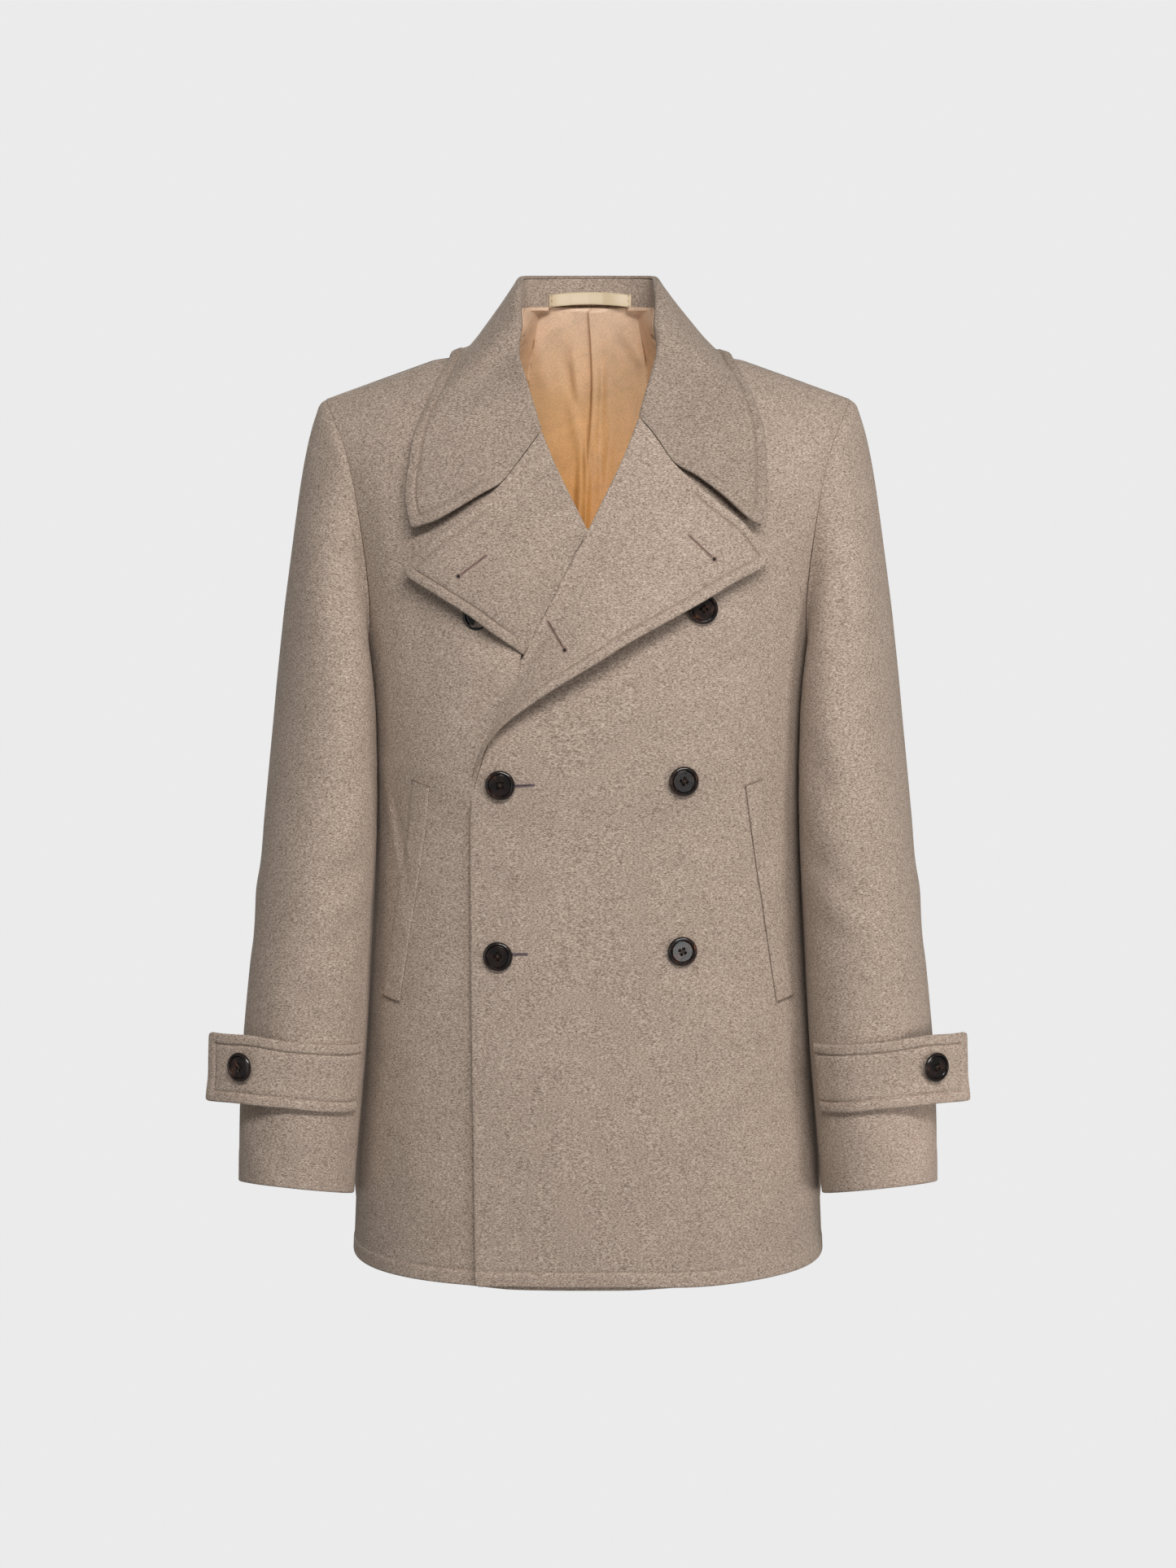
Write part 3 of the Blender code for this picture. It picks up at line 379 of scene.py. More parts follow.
# Stitches' distance from an edge and a hem, the width over which edges are rounded, and
# a corner's radius
finish = {
    "inset": 9, "hemInset": 13, "hem": 1.9, "stitched": 1.75, "seam": 0.5, "corner": 3.2,
    "pastFold": 2.9,  # from a turned fold's end to the first column after it
}
sides = ("left", 1), ("right", -1)


# Distances along a line of cloth, close together at its two ends
def spread(length, start, end, count, first=0.0):
    a = np.array(start, float)
    b = np.array(end, float)
    room = max(length - first, 0.0)
    share = min(1.0, room / (2.2 * max(a[-1] + b[-1], 1e-6)))
    a = first + a * share
    b = b * share
    middle = np.linspace(a[-1], length - b[-1], count + 2)[1:-1]
    return np.concatenate([a, middle, length - b[::-1]])


# Reads every line of a grid again at other distances along it
def respace(values, places, distances, axis=1):
    if axis == 0:
        values = values.swapaxes(0, 1)
        places = places.swapaxes(0, 1)
    lines = []
    for i in range(len(values)):
        arc = lengths(places[i])
        at = distances(i, arc)
        lines.append(np.stack([np.interp(at, arc, column) for column in values[i].T], -1))
    lines = np.array(lines)
    return lines.swapaxes(0, 1) if axis == 0 else lines


def differences(p):
    step = np.empty_like(p)
    step[1:-1] = p[2:] - p[:-2]
    step[0] = p[1] - p[0]
    step[-1] = p[-1] - p[-2]
    return step


def gridNormals(p):
    return unit(np.cross(differences(p.swapaxes(0, 1)).swapaxes(0, 1), differences(p)))


# Normals that point to the back at the middle of the collar
def collarNormals(p):
    normal = gridNormals(p)
    return -normal if normal[len(normal) // 2, 4, 1] < 0 else normal


# How far a wall's two faces close towards each other near an edge, from 0 to a half
def closing(distance, wide):
    q = np.clip(1 - distance / wide, 0, 1)
    return 0.5 * (1 - np.sqrt(1 - q**2))


# The raised border between an edge and its stitches, and the groove they pull
def stitchedBorder(distance, puff, groove):
    inset = finish["inset"]
    inside = np.clip(distance / inset, 0, 1)
    swell = 0.72 + 0.28 * np.sin(math.pi * inside)
    swell = swell * (1 - smooth(inset - 1.8, inset, distance))
    after = smooth(inset, inset + 2.2, distance) * (1 - smooth(inset + 3, inset + 22, distance))
    pulled = groove * np.exp(-(((distance - inset) / 0.75) ** 2))
    return puff * (swell + 0.30 * after) - pulled


def edgeDistances(grid):
    rows = np.linalg.norm(np.diff(grid, axis=0), axis=-1)
    columns = np.linalg.norm(np.diff(grid, axis=1), axis=-1)
    down = np.concatenate([np.zeros((1, grid.shape[1])), np.cumsum(rows, 0)])
    right = np.concatenate([np.zeros((grid.shape[0], 1)), np.cumsum(columns, 1)], 1)
    return {"first": down, "last": down[-1:] - down, "start": right, "end": right[:, -1:] - right}


def toEdge(gap, edges=("first", "last", "start", "end")):
    return np.min([gap[edge] for edge in edges], axis=0)


# The closing of a wall at its edges: each edge and how wide the closing is there
def closed(gap, **widths):
    return np.max([closing(gap[edge], wide) for edge, wide in widths.items()], axis=0)


clothPieces = {}  # the pieces that take a solid's place, by the solid's name


# A closed thin wall between two grids that share their border
def clothMesh(name, outer, inner, close, mirror=1):
    rows, columns = outer.shape[:2]
    half = close[..., None]
    face = outer + (inner - outer) * half
    back = inner + (outer - inner) * half
    border = np.zeros((rows, columns), bool)
    border[[0, -1], :] = True
    border[:, [0, -1]] = True
    face[border] = back[border] = (face[border] + back[border]) / 2
    faceIndex = np.arange(rows * columns).reshape(rows, columns)
    backIndex = faceIndex.copy()
    backIndex[~border] = rows * columns + np.arange((~border).sum())
    points = np.concatenate([face.reshape(-1, 3), back[~border]])
    quads = []
    for index, flip in ((faceIndex, False), (backIndex, True)):
        a, b = index[:-1, :-1].ravel(), index[:-1, 1:].ravel()
        c, d = index[1:, 1:].ravel(), index[1:, :-1].ravel()
        quads.append(np.stack([a, d, c, b] if flip else [a, b, c, d], -1))
    quads = np.concatenate(quads)
    points = points * [mirror, 1, 1]
    corners = points[quads]
    volume = np.einsum("ij,ij->", corners[:, 0], np.cross(corners[:, 1], corners[:, 2]))
    volume += np.einsum("ij,ij->", corners[:, 0], np.cross(corners[:, 2], corners[:, 3]))
    if volume < 0:
        quads = quads[:, ::-1]
    return meshFrom(name, points, quads)


def makeCloth(name, outer, inner, close, material, mirror=1, more=()):
    mesh = clothMesh(name, outer, inner, close, mirror)
    if more:
        shape = bmesh.new()
        for part in (mesh, *more):
            shape.from_mesh(part)
        shape.to_mesh(mesh)
        shape.free()
        mesh.shade_smooth()
    clothPieces[name] = addPiece(name, mesh, material)


def plainMesh(name, points, faces, edges=()):
    mesh = bpy.data.meshes.new(name)
    mesh.from_pydata([tuple(p) for p in np.asarray(points, float) * mm], list(edges), faces)
    return mesh


def meshFrom(name, points, quads):
    mesh = plainMesh(name, points, quads.tolist())
    shape = bmesh.new()
    shape.from_mesh(mesh)
    bmesh.ops.remove_doubles(shape, verts=shape.verts, dist=0.00001)
    bmesh.ops.dissolve_degenerate(shape, edges=shape.edges, dist=0.000002)
    shape.to_mesh(mesh)
    shape.free()
    mesh.shade_smooth()
    return mesh


def linkThing(name, data):
    thing = bpy.data.objects.new(name, data)
    bpy.context.scene.collection.objects.link(thing)
    return thing


# The mesh that an object's modifiers make of it
def evaluated(thing):
    bpy.context.view_layer.update()
    graph = bpy.context.evaluated_depsgraph_get()
    return bpy.data.meshes.new_from_object(thing.evaluated_get(graph))


def addPiece(name, mesh, material):
    mesh.materials.clear()
    mesh.materials.append(material)
    thing = linkThing(name, mesh)
    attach(thing, "root")
    return thing


# Rounds one corner of a wall in its own plane
def roundCorner(grids, lastRow, radius):
    grid = grids[0]
    gap = edgeDistances(grid)
    a, b = gap["last" if lastRow else "first"], gap["end"]
    edge = -1 if lastRow else 0
    k = int(np.argmin(np.abs(a[:, -1] - radius)))
    j = int(np.argmin(np.abs(b[edge] - radius)))
    alongA = unit(grid[k, -1] - grid[edge, -1])
    alongB = unit(grid[edge, j] - grid[edge, -1])
    p = np.clip((radius - a) / radius, 0, 1)
    q = np.clip((radius - b) / radius, 0, 1)
    moveA = radius * p * (1 - np.sqrt(1 - q**2 / 2))
    moveB = radius * q * (1 - np.sqrt(1 - p**2 / 2))
    shift = moveA[..., None] * alongA + moveB[..., None] * alongB
    return [g + shift for g in grids]


def hexColour(text):
    values = [int(text[i : i + 2], 16) / 255 for i in (0, 2, 4)]
    linear = [v / 12.92 if v <= 0.04045 else ((v + 0.055) / 1.055) ** 2.4 for v in values]
    return (*linear, 1)


# Adds a node with its settings and its inputs' values or links. stops are a ramp's
# places and colours; the first two are its own ends
def addNode(tree, kind, settings=None, inputs=None, stops=()):
    node = tree.nodes.new(kind)
    for key, value in (settings or {}).items():
        setattr(node, key, value)
    for key, value in (inputs or {}).items():
        if isinstance(value, bpy.types.NodeSocket):
            tree.links.new(value, node.inputs[key])
        else:
            node.inputs[key].default_value = value
    for k, (position, colour) in enumerate(stops):
        ends = node.color_ramp.elements
        stop = ends[k] if k < 2 else ends.new(position)
        if k < 2:
            stop.position = position
        stop.color = hexColour(colour)
    return node


def newMaterial(name, inputs):
    material = bpy.data.materials.new(name)
    material.use_nodes = True
    tree = material.node_tree
    shader = tree.nodes["Principled BSDF"]
    for key, value in inputs.items():
        shader.inputs[key].default_value = value
    place = addNode(tree, "ShaderNodeTexCoord").outputs["Object"]
    return material, tree, shader, place


# Varies a colour by fields: each field, its range and the shares of light it turns to
def mottled(tree, colour, fields):
    share = 1.0
    for field, low, high, dark, light in fields:
        values = {"Value": field, "From Min": low, "From Max": high, "To Min": dark, "To Max": light}
        part = addNode(tree, "ShaderNodeMapRange", {}, values).outputs[0]
        both = {0: share, 1: part}
        share = addNode(tree, "ShaderNodeMath", {"operation": "MULTIPLY"}, both).outputs[0]
    values = {"Vector": colour, "Scale": share}
    return addNode(tree, "ShaderNodeVectorMath", {"operation": "SCALE"}, values).outputs[0]


# Gives a material its colour and, where it has one, the relief of a height
def coloured(tree, shader, colour, height=None, strength=0, depth=0):
    tree.links.new(colour, shader.inputs["Base Color"])
    if height:
        values = {"Height": height, "Strength": strength, "Distance": depth}
        relief = addNode(tree, "ShaderNodeBump", {}, values).outputs[0]
        tree.links.new(relief, shader.inputs["Normal"])


# Milled melange wool: mixed light and dark fibres, a short flattened nap. The fibres are
# drawn coarser than real ones, so that they show
def woolMaterial(name, paintedShade=1.0):
    matt = {
        "Roughness": 0.92, "IOR": 1.45, "Specular IOR Level": 0.2, "Sheen Weight": 0.22,
        "Sheen Roughness": 0.5, "Sheen Tint": hexColour("e8ddd0"),
    }
    material, tree, shader, place = newMaterial(name, matt)
    fields = []
    # a fleck in 1.8 mm, a fibre in 0.5, a dark speck in 1.2 and a cloud in 38, all to the
    # metre; how much closer they lie down the cloth, detail, roughness
    for scale, closer, detail, rough in (
        (560, 2.3, 3, 0.62), (1900, 1.7, 2, 0.6), (820, 1.9, 1, 0.5), (26, 1.3, 2, 0.55)
    ):
        values = {"Vector": place, "Scale": (1, 1, closer)}
        drawn = addNode(tree, "ShaderNodeMapping", {}, values).outputs[0]
        values = {"Vector": drawn, "Scale": scale, "Detail": detail, "Roughness": rough}
        fields.append(addNode(tree, "ShaderNodeTexNoise", {}, values).outputs["Fac"])
    flecks, fibres, specks, clouds = fields
    stops = (0.33, "76655b"), (0.68, "cebeb0"), (0.5, "ab998a")
    melange = addNode(tree, "ShaderNodeValToRGB", {}, {"Fac": flecks}, stops).outputs["Color"]
    # paintedShade scales the whole colour down: painted shade in the collar's and lapel's darker
    # copies
    colour = mottled(tree, melange, (
        (fibres, 0.3, 0.7, 0.84, 1.14), (clouds, 0.3, 0.7, 0.96 * paintedShade, 1.04 * paintedShade),
        (specks, 0.28, 0.40, 0.55, 1.0),
    ))
    both = {0: flecks, 1: fibres}
    nap = addNode(tree, "ShaderNodeMath", {"operation": "ADD"}, both).outputs[0]
    coloured(tree, shader, colour, nap, 0.45, 0.6 * mm)
    return material


# Twill lining: smooth tan viscose with a fine diagonal rib; painted light and shade make it pale at
# the neck and darker, deeper orange lower down
def liningMaterial():
    material, tree, shader, place = newMaterial("tanTwillLining", {"Roughness": 0.5, "IOR": 1.5})
    # ribs 0.7 mm apart
    values = {"Vector": place, "Scale": 500, "Distortion": 0.4, "Detail": 1}
    diagonal = {"bands_direction": "DIAGONAL"}
    ribs = addNode(tree, "ShaderNodeTexWave", diagonal, values).outputs["Fac"]
    # a cloud in 24 mm, a grain in 1.1
    values = {"Vector": place, "Scale": 42, "Detail": 4, "Distortion": 0.6}
    clouds = addNode(tree, "ShaderNodeTexNoise", {}, values).outputs["Fac"]
    values = {"Vector": place, "Scale": 900, "Detail": 2}
    grain = addNode(tree, "ShaderNodeTexNoise", {}, values).outputs["Fac"]
    # painted shade by height: pale where light falls in at the neck, darker and more orange below
    height = addNode(tree, "ShaderNodeSeparateXYZ", {}, {"Vector": place}).outputs["Z"]
    values = {"Value": height, "From Min": -160 * mm, "From Max": 20 * mm}
    litUpwards = addNode(tree, "ShaderNodeMapRange", {}, values).outputs[0]
    stops = (0.0, "cb8f4e"), (1.0, "e8c9ae"), (0.55, "d8ab7b")
    tan = addNode(tree, "ShaderNodeValToRGB", {}, {"Fac": litUpwards}, stops).outputs["Color"]
    shares = (clouds, 0.3, 0.7, 0.88, 1.1), (grain, 0.3, 0.7, 0.87, 1.13)
    coloured(tree, shader, mottled(tree, tan, shares), ribs, 0.15, 0.1 * mm)
    return material


# Woven satin tape, cream, with ribs 0.75 mm apart
def tapeMaterial():
    satin = {"Roughness": 0.4, "Sheen Weight": 0.1}
    material, tree, shader, place = newMaterial("creamSatinTape", satin)
    values = {"Vector": place, "Scale": 420, "Distortion": 0.5, "Detail": 1}
    ribs = addNode(tree, "ShaderNodeTexWave", {"bands_direction": "Z"}, values).outputs["Fac"]
    stops = (0.0, "c6b190"), (1.0, "d9c6a6")
    cream = addNode(tree, "ShaderNodeValToRGB", {}, {"Fac": ribs}, stops).outputs["Color"]
    coloured(tree, shader, cream, ribs, 0.2, 0.2 * mm)
    return material


# Polished dark horn with brown and amber streaks some 5 to 13 mm across
def hornMaterial():
    polished = {"Roughness": 0.22, "IOR": 1.55, "Coat Weight": 0.25, "Coat Roughness": 0.08}
    material, tree, shader, place = newMaterial("polishedDarkHorn", polished)
    values = {"Vector": place, "Rotation": (0.3, 0.4, 0.7), "Scale": (1, 2.8, 1)}
    turned = addNode(tree, "ShaderNodeMapping", {}, values).outputs[0]
    values = {"Vector": turned, "Scale": 75, "Detail": 5, "Roughness": 0.6, "Distortion": 1.1}
    streaks = addNode(tree, "ShaderNodeTexNoise", {}, values).outputs["Fac"]
    stops = (0.42, "120e0c"), (0.88, "a06a40"), (0.55, "231814"), (0.68, "452c20")
    brown = addNode(tree, "ShaderNodeValToRGB", {}, {"Fac": streaks}, stops).outputs["Color"]
    coloured(tree, shader, brown)
    return material


# Sewing thread, its twist drawn 1.1 mm long
def threadMaterial(name, light, dark, rough=0.7):
    material, tree, shader, place = newMaterial(name, {"Roughness": rough})
    values = {"Vector": place, "Scale": 900, "Detail": 2}
    twist = addNode(tree, "ShaderNodeTexNoise", {}, values).outputs["Fac"]
    stops = (0.35, dark), (0.65, light)
    colour = addNode(tree, "ShaderNodeValToRGB", {}, {"Fac": twist}, stops).outputs["Color"]
    coloured(tree, shader, colour)
    return material


wool = woolMaterial("milledMelangeWool")
# the collar and the lapel beneath get darker copies of the wool: painted shade, so that their
# upturned faces show no lighter than the chest
collarShadedWool = woolMaterial("collarPaintedShadeWool", 0.82)
lapelShadedWool = woolMaterial("lapelPaintedShadeWool", 0.91)
lining = liningMaterial()
tape = tapeMaterial()
horn = hornMaterial()
# Polyester sewing threads: one that matches the wool, one darker for the buttonholes
topThread = threadMaterial("mattSewingThread", "b8a493", "8f7d6e")
holeThread = threadMaterial("buttonholeThread", "b09488", "8a7065")
mauveThread = threadMaterial("mauveThread", "8a7880", "5a4a50")
darkThread = threadMaterial("buttonThread", "453227", "1c120d", 0.5)
slitEdge = threadMaterial("pocketThread", "8a7568", "64534a")
# a near-black material for the buttonholes' slits and eyelets: painted shade in their openings
slitShade = threadMaterial("slitShadowThread", "2a1f1a", "120d0b", 0.8)


def rowList(heights):
    fine = np.linspace(0, rowCount - 1, 8001)
    return np.interp(heights, edgeHeightAt(fine), fine)


# A panel's lines across: low ones run level and the upper ones follow the shoulder
def panelLines(innerX, innerZ, v, endAt, fractions, weight, neck):
    outerZ = sideHeightAt(v)
    free = v > lowCount - 1
    endX = np.where(free, endAt(v), halfWidthAt(outerZ))
    first = angleAt(innerX, innerZ)[:, None]
    last = np.where(free, angleAt(endX, outerZ), math.pi / 2)[:, None]
    dropIn = (topLine(np.maximum(innerX, neck)) - innerZ)[:, None]
    dropOut = (crest(endX, False) - outerZ)[:, None]
    c = fractions[None, :]
    level = mix(innerZ[:, None], outerZ[:, None], c)
    z = level
    for _ in range(3):
        x = acrossAt(mix(first, last, c), z)
        draped = topLine(np.maximum(x, neck)) - mix(dropIn, dropOut, c)
        z = mix(level, draped, weight[:, None])
    return x, z


def hemRows():
    heights = np.concatenate(
        [body["hem"] + np.array(marks["hem"]), np.arange(body["hem"] + 23, -20, 5.2)]
    )
    v = rowList(heights)
    pit = lowCount - 1 + np.array([0, 0.012, 0.035, 0.07, 0.12])
    top = rowCount - 1 - np.array([0.6, 0.35, 0.2, 0.1, 0.05, 0.02, 0])
    v = v[np.abs(v[:, None] - pit[None, :]).min(1) > 0.03]
    return np.sort(np.concatenate([v, pit, top]))


# The thicker band of the turned hem, up to its stitches
def hemBandOf(gap):
    return 1 - smooth(finish["hemInset"] - 1.5, finish["hemInset"] + 0.5, gap["first"])


dense = np.linspace(0, 1, 401)
stitchLines = []


# One front: 1 is the wearer's left, which lies on top, and -1 the right, beneath
def makeFront(side):
    name = "front_over" if side > 0 else "front_under"
    v = hemRows()
    edgeZ = edgeHeightAt(v)
    innerX = -edgePast(edgeZ, side) + pulledBack(edgeZ)
    weight = smooth(-320, -110, edgeZ)
    x, z = panelLines(innerX, edgeZ, v, frontEndAt, dense, weight, body["neckHalf"])
    place, normal = onBody(x, z, True)
    top = frontTop(x, z, side)[..., None]
    crossing = np.zeros(len(v))
    if side < 0:
        place = place + normal * 3
        s = fromRoll(x, z)
        for i in range(len(v)):
            crossing[i] = np.interp(0, s[i], lengths(place[i])) if (s[i] < 0).any() else 0
    else:
        place = place + normal * top
    free, sewn, roll = marks["free"], marks["seam"], np.array(lapStep["marks"])

    def across(i, arc):
        length = arc[-1]
        if side > 0:
            return spread(length, free, sewn, 62)
        cross = crossing[i]
        start = np.array(free) * min(1, cross / 14)
        hidden = np.linspace(start[-1], max(cross + roll[0], start[-1]), 14)[1:-1]
        around = np.maximum(cross + roll, max(hidden[-1], 0))
        end = length - np.array(sewn)[::-1]
        shown = np.linspace(around[-1], end[0], 56)[1:-1]
        return np.concatenate([start, hidden, around, shown, end])

    plan = respace(np.stack([x, z], -1), place, across)
    x, z = plan[..., 0], plan[..., 1]
    # the upper front's hem rides up a little and shows the lower one's
    sway = smooth(-100, -60, side * x) * smooth(92, 30, side * x) * smooth(-640, body["hem"], z)
    z = z + (1.6 if side > 0 else -1.9) * sway
    place, normal = onBody(x, z, True)
    lapped = mix(lapStep["over"], lapStep["under"], smooth(-265, -255, z))
    fold = bodyFold(side * x, z, "front")
    outer = frontTop(x, z, side, lapped) + fold
    inner = frontTop(x, z, side, lapped + lapStep["wall"]) + fold - body["wool"]
    gap = edgeDistances(raised(place, normal, outer))
    openEdge = 1 - smooth(-376, -360, z)
    edgeBand = openEdge * (1 - smooth(5, 13, gap["start"]))
    stitched = smooth(-150, -141, side * x) * smooth(136, 126, side * x)
    hemBand = hemBandOf(gap)
    groove = 0.7 * np.exp(-(((gap["first"] - finish["hemInset"]) / 0.8) ** 2)) * stitched
    outer = outer + 0.55 * edgeBand + 0.6 * hemBand - groove
    inner = inner - 0.3 * edgeBand - 0.8 * hemBand
    seam = finish["seam"]
    close = closed(gap, first=finish["hem"], start=mix(seam, 1.8, openEdge), last=seam, end=seam)
    outerGrid, innerGrid = raised(place, normal, outer), raised(place, normal, inner)
    # the front edge's lower corner is turned round
    near = np.clip(1 - gap["start"] / 5, 0, 1) ** 2 * np.clip(1 - gap["first"] / 5, 0, 1) ** 2
    turned = 3.0 * near[..., None] * np.array([0.7, 0, 0.7])
    outerGrid, innerGrid = outerGrid + turned, innerGrid + turned
    makeCloth(name, outerGrid, innerGrid, close, wool, side)
    hemRow = int(np.argmin(np.abs(gap["first"][:, 30] - finish["hemInset"])))
    shown = (side * x[hemRow] > -141) & (side * x[hemRow] < 126) & (gap["start"][hemRow] > 12)
    keep, up = outerGrid[hemRow][shown], normal[hemRow][shown]
    stitchLines.append((name, keep * [side, 1, 1], up * [side, 1, 1]))
    print(name, "made")


# Lines across the back from its centre, which climb to the neck above the underarms
def backLines(v, fractions):
    outerZ = sideHeightAt(v)
    share = smooth(body["underarm"] - 60, tipHeight, outerZ)
    innerZ = mix(outerZ, body["backNeck"], share)
    return panelLines(np.zeros(len(v)), innerZ, v, backEndAt, fractions, share, 0)


def makeBack(side):
    name = "back_left" if side > 0 else "back_right"
    x, z = backLines(hemRows(), dense)
    place, normal = onBody(x, z, False)
    seam = marks["seam"]
    plan = respace(np.stack([x, z], -1), place, lambda i, arc: spread(arc[-1], seam, seam, 44))
    x, z = plan[..., 0], plan[..., 1]
    place, normal = onBody(x, z, False)
    # ease let out behind the sleeve
    ease = 5.0 + 1.6 * smooth(-600, -690, z)
    ease = ease * np.exp(-(((place[..., 1] - 27) / 13) ** 2))
    ease = ease * smooth(-380, -450, z) * smooth(-768, -715, z)
    fold = bodyFold(side * x, z, "back") + ease
    gap = edgeDistances(place)
    hemBand = hemBandOf(gap)
    outer = raised(place, normal, fold + 0.6 * hemBand)
    inner = raised(place, normal, fold - body["wool"] - 0.8 * hemBand)
    seam = finish["seam"]
    close = closed(gap, first=finish["hem"], last=seam, start=seam, end=seam)
    makeCloth(name, outer, inner, close, wool, side)
    print(name, "made")


for side in (1, -1):
    makeFront(side)
    makeBack(side)


lapels = {
    # roll height, outer edge across, outer edge height, stand off the front
    1: [
        (-72, 136.5, -177, 8.5), (-105, 133.5, -186, 9.5), (-135, 110.0, -198, 12.0),
        (-165, 83.0, -214, 15.0), (-190, 58.0, -228, 17.0), (-215, 33.0, -242, 18.5),
        (-240, 8.0, -258, 19.0), (-275, -26.0, -279, 17.0), (-312, -57.5, -302.5, 10.0),
        (-333, -72.0, -317, 6.0), (-350, -82.0, -333, 3.0), (-364, -88.4, -349, 0.9),
        (-376, -92.4, -370, 0.2),
    ],
    -1: [
        (-82, 140.5, -187, 8.5), (-107, 138.5, -194, 9.5), (-135, 116.0, -208, 10.5),
        (-165, 90.0, -224, 10.5), (-190, 64.0, -244, 6.5), (-215, 38.0, -262, 3.0),
        (-240, 14.0, -276, 0.0), (-275, -20.0, -296, 0.0), (-312, -46.0, -318, 0.0),
        (-352, -68.0, -348, 0.0),
    ],
    # the gorge seam, the notch and the lapel's top edge
    "gorge": {
        1: [
            (39.2, -72), (52, -87), (65.6, -109), (81.3, -123), (100.6, -138.5), (120, -154.5),
            (136.5, -177),
        ],
        -1: [
            (35.8, -82), (50, -101), (67.2, -123.2), (84.2, -138.2), (103, -153.2),
            (121.5, -167), (140.5, -187),
        ],
    },
    "gorgeFade": [1, 0.5, 0.2],
    "merge": (-374, -340),  # where the over lapel sinks into the front's edge
    "columns": [0, 0.12, 0.27, 0.44, 0.62, 0.81, 1], "gap": 0.45,
}
collar = {
    "inset": 3.3,  # the stand's top, inside the leaf's fold
    # chest stations: fold across and height, edge across and height, stand
    1: [
        (41, -67, 134.5, -152, 9.5), (44.5, -53, 137, -131, 7.5),
        (49.5, -36, 138.5, -105, 6.5), (53.8, -20, 137, -80, 4.5),
    ],
    -1: [
        (37.8, -78, 135.5, -157, 9.5), (42.5, -60, 141.5, -134, 7.5),
        (49, -40, 140, -110, 6.5), (54.8, -20, 135, -82, 4.5),
    ],
    "end": {
        1: [
            (41, -67), (54, -83), (68, -103), (84.5, -116), (103, -132.5), (120, -148), (132, -156),
        ],
        -1: [
            (37.8, -78), (51.5, -97), (68, -118.5), (82.5, -128.5), (99.5, -141), (118, -151.5),
            (135.5, -157),
        ],
    },
    # neck stations: fold place, edge across on each side, edge depth and height, bulge
    "neck": [
        (57.3, -38, 4, 129, 122.5, -52, -47, -1), (59.2, -20, 20, 118.5, 112.5, -24, -33, -0.5),
        (58.8, -2, 32.5, 113, 107, 2, -28, 0), (57.6, 18, 39, 107, 103, 28, -30, 0),
        (54.8, 44, 41, 92, 90, 68, -38, 2), (35.5, 65, 41, 54, 53, 93, -46, 6),
        (14, 73, 41, 21, 21, 99, -50, 7), (0, 74, 41, 0, 0, 100, -50, 7),
    ],
    "foot": [
        (57, -34, -6), (58.5, -16, -2), (59, 0, 1), (57, 16, 5.5), (53.2, 38, 13.6), (33, 56, 14.4),
        (12.5, 62, 14.4), (0, 63, 14.4),
    ],
}


# Both sides of the gorge seam meet on one line; past it they part into the notch
def gorgeLines(side):
    gorge = np.array(lapels["gorge"][side], float)
    end = np.array(collar["end"][side], float)
    c = np.array(lapels["columns"])
    sewn = 0.48 * (1 - smooth(0.36, 0.5, c))[:, None]
    return gorge + sewn * (end - gorge), end + sewn * (gorge - end)


# The turned fold between two walls of cloth, from the lower one's middle to the upper's
def foldOver(lower, towards, upper, away, outside, stretch, steps=8):
    size = np.linalg.norm(upper - lower, axis=-1, keepdims=True) * stretch
    grids = []
    slopes = []
    for t in np.linspace(0, 1, steps + 1)[:-1]:
        a, b, c, d = hermite(t)
        grids.append(lower * a + towards * size * b + upper * c + away * size * d)
        slopes.append(
            lower * (6 * t**2 - 6 * t)
            + towards * size * (3 * t**2 - 4 * t + 1)
            + upper * (6 * t - 6 * t**2)
            + away * size * (3 * t**2 - 2 * t)
        )
    middle = np.stack(grids, 1)
    slope = np.stack(slopes, 1)
    along = np.gradient(middle, axis=0)
    normal = unit(np.cross(along, slope))
    end = unit(np.cross(np.gradient(upper, axis=0), away))
    flip = np.where((end * outside).sum(-1) < 0, -1.0, 1.0)[:, None, None]
    return middle, normal * flip


# Presses the upper half of a turned fold square, as an iron does
def squared(points, centre, ahead, up, power):
    offset = points - centre[:, None]
    a = (offset * ahead[:, None]).sum(-1)
    b = (offset * up[:, None]).sum(-1)
    size = np.maximum(np.hypot(a, b), 1e-9)
    share = ((np.abs(a) / size) ** power + (np.abs(b) / size) ** power) ** (-1 / power)
    share = np.where((a > 0) & (b > 0), share, 1)
    return centre[:, None] + offset * share[..., None]


def withFold(grid, added):
    return np.concatenate([np.repeat(grid[:, :1], added, 1), grid], 1)


# Sets the turned fold before a wall's first column; a power presses it square
def turnedFold(outer, inner, close, lower, lean, up, stretch, power=0):
    upper = (outer[:, 0] + inner[:, 0]) / 2
    beside = (outer[:, 1] + inner[:, 1]) / 2
    middle, turn = foldOver(lower, lean, upper, unit(beside - upper), up, stretch)
    half = body["wool"] / 2
    nose = middle + turn * half
    if power:
        nose = squared(nose, (lower + upper) / 2, lean, up, power)
    outer = np.concatenate([nose, outer], 1)
    inner = np.concatenate([middle - turn * half, inner], 1)
    added = middle.shape[1]
    begin = edgeDistances((outer + inner) / 2)["start"]
    return outer, inner, np.maximum(withFold(close, added), closing(begin, 0.5)), added


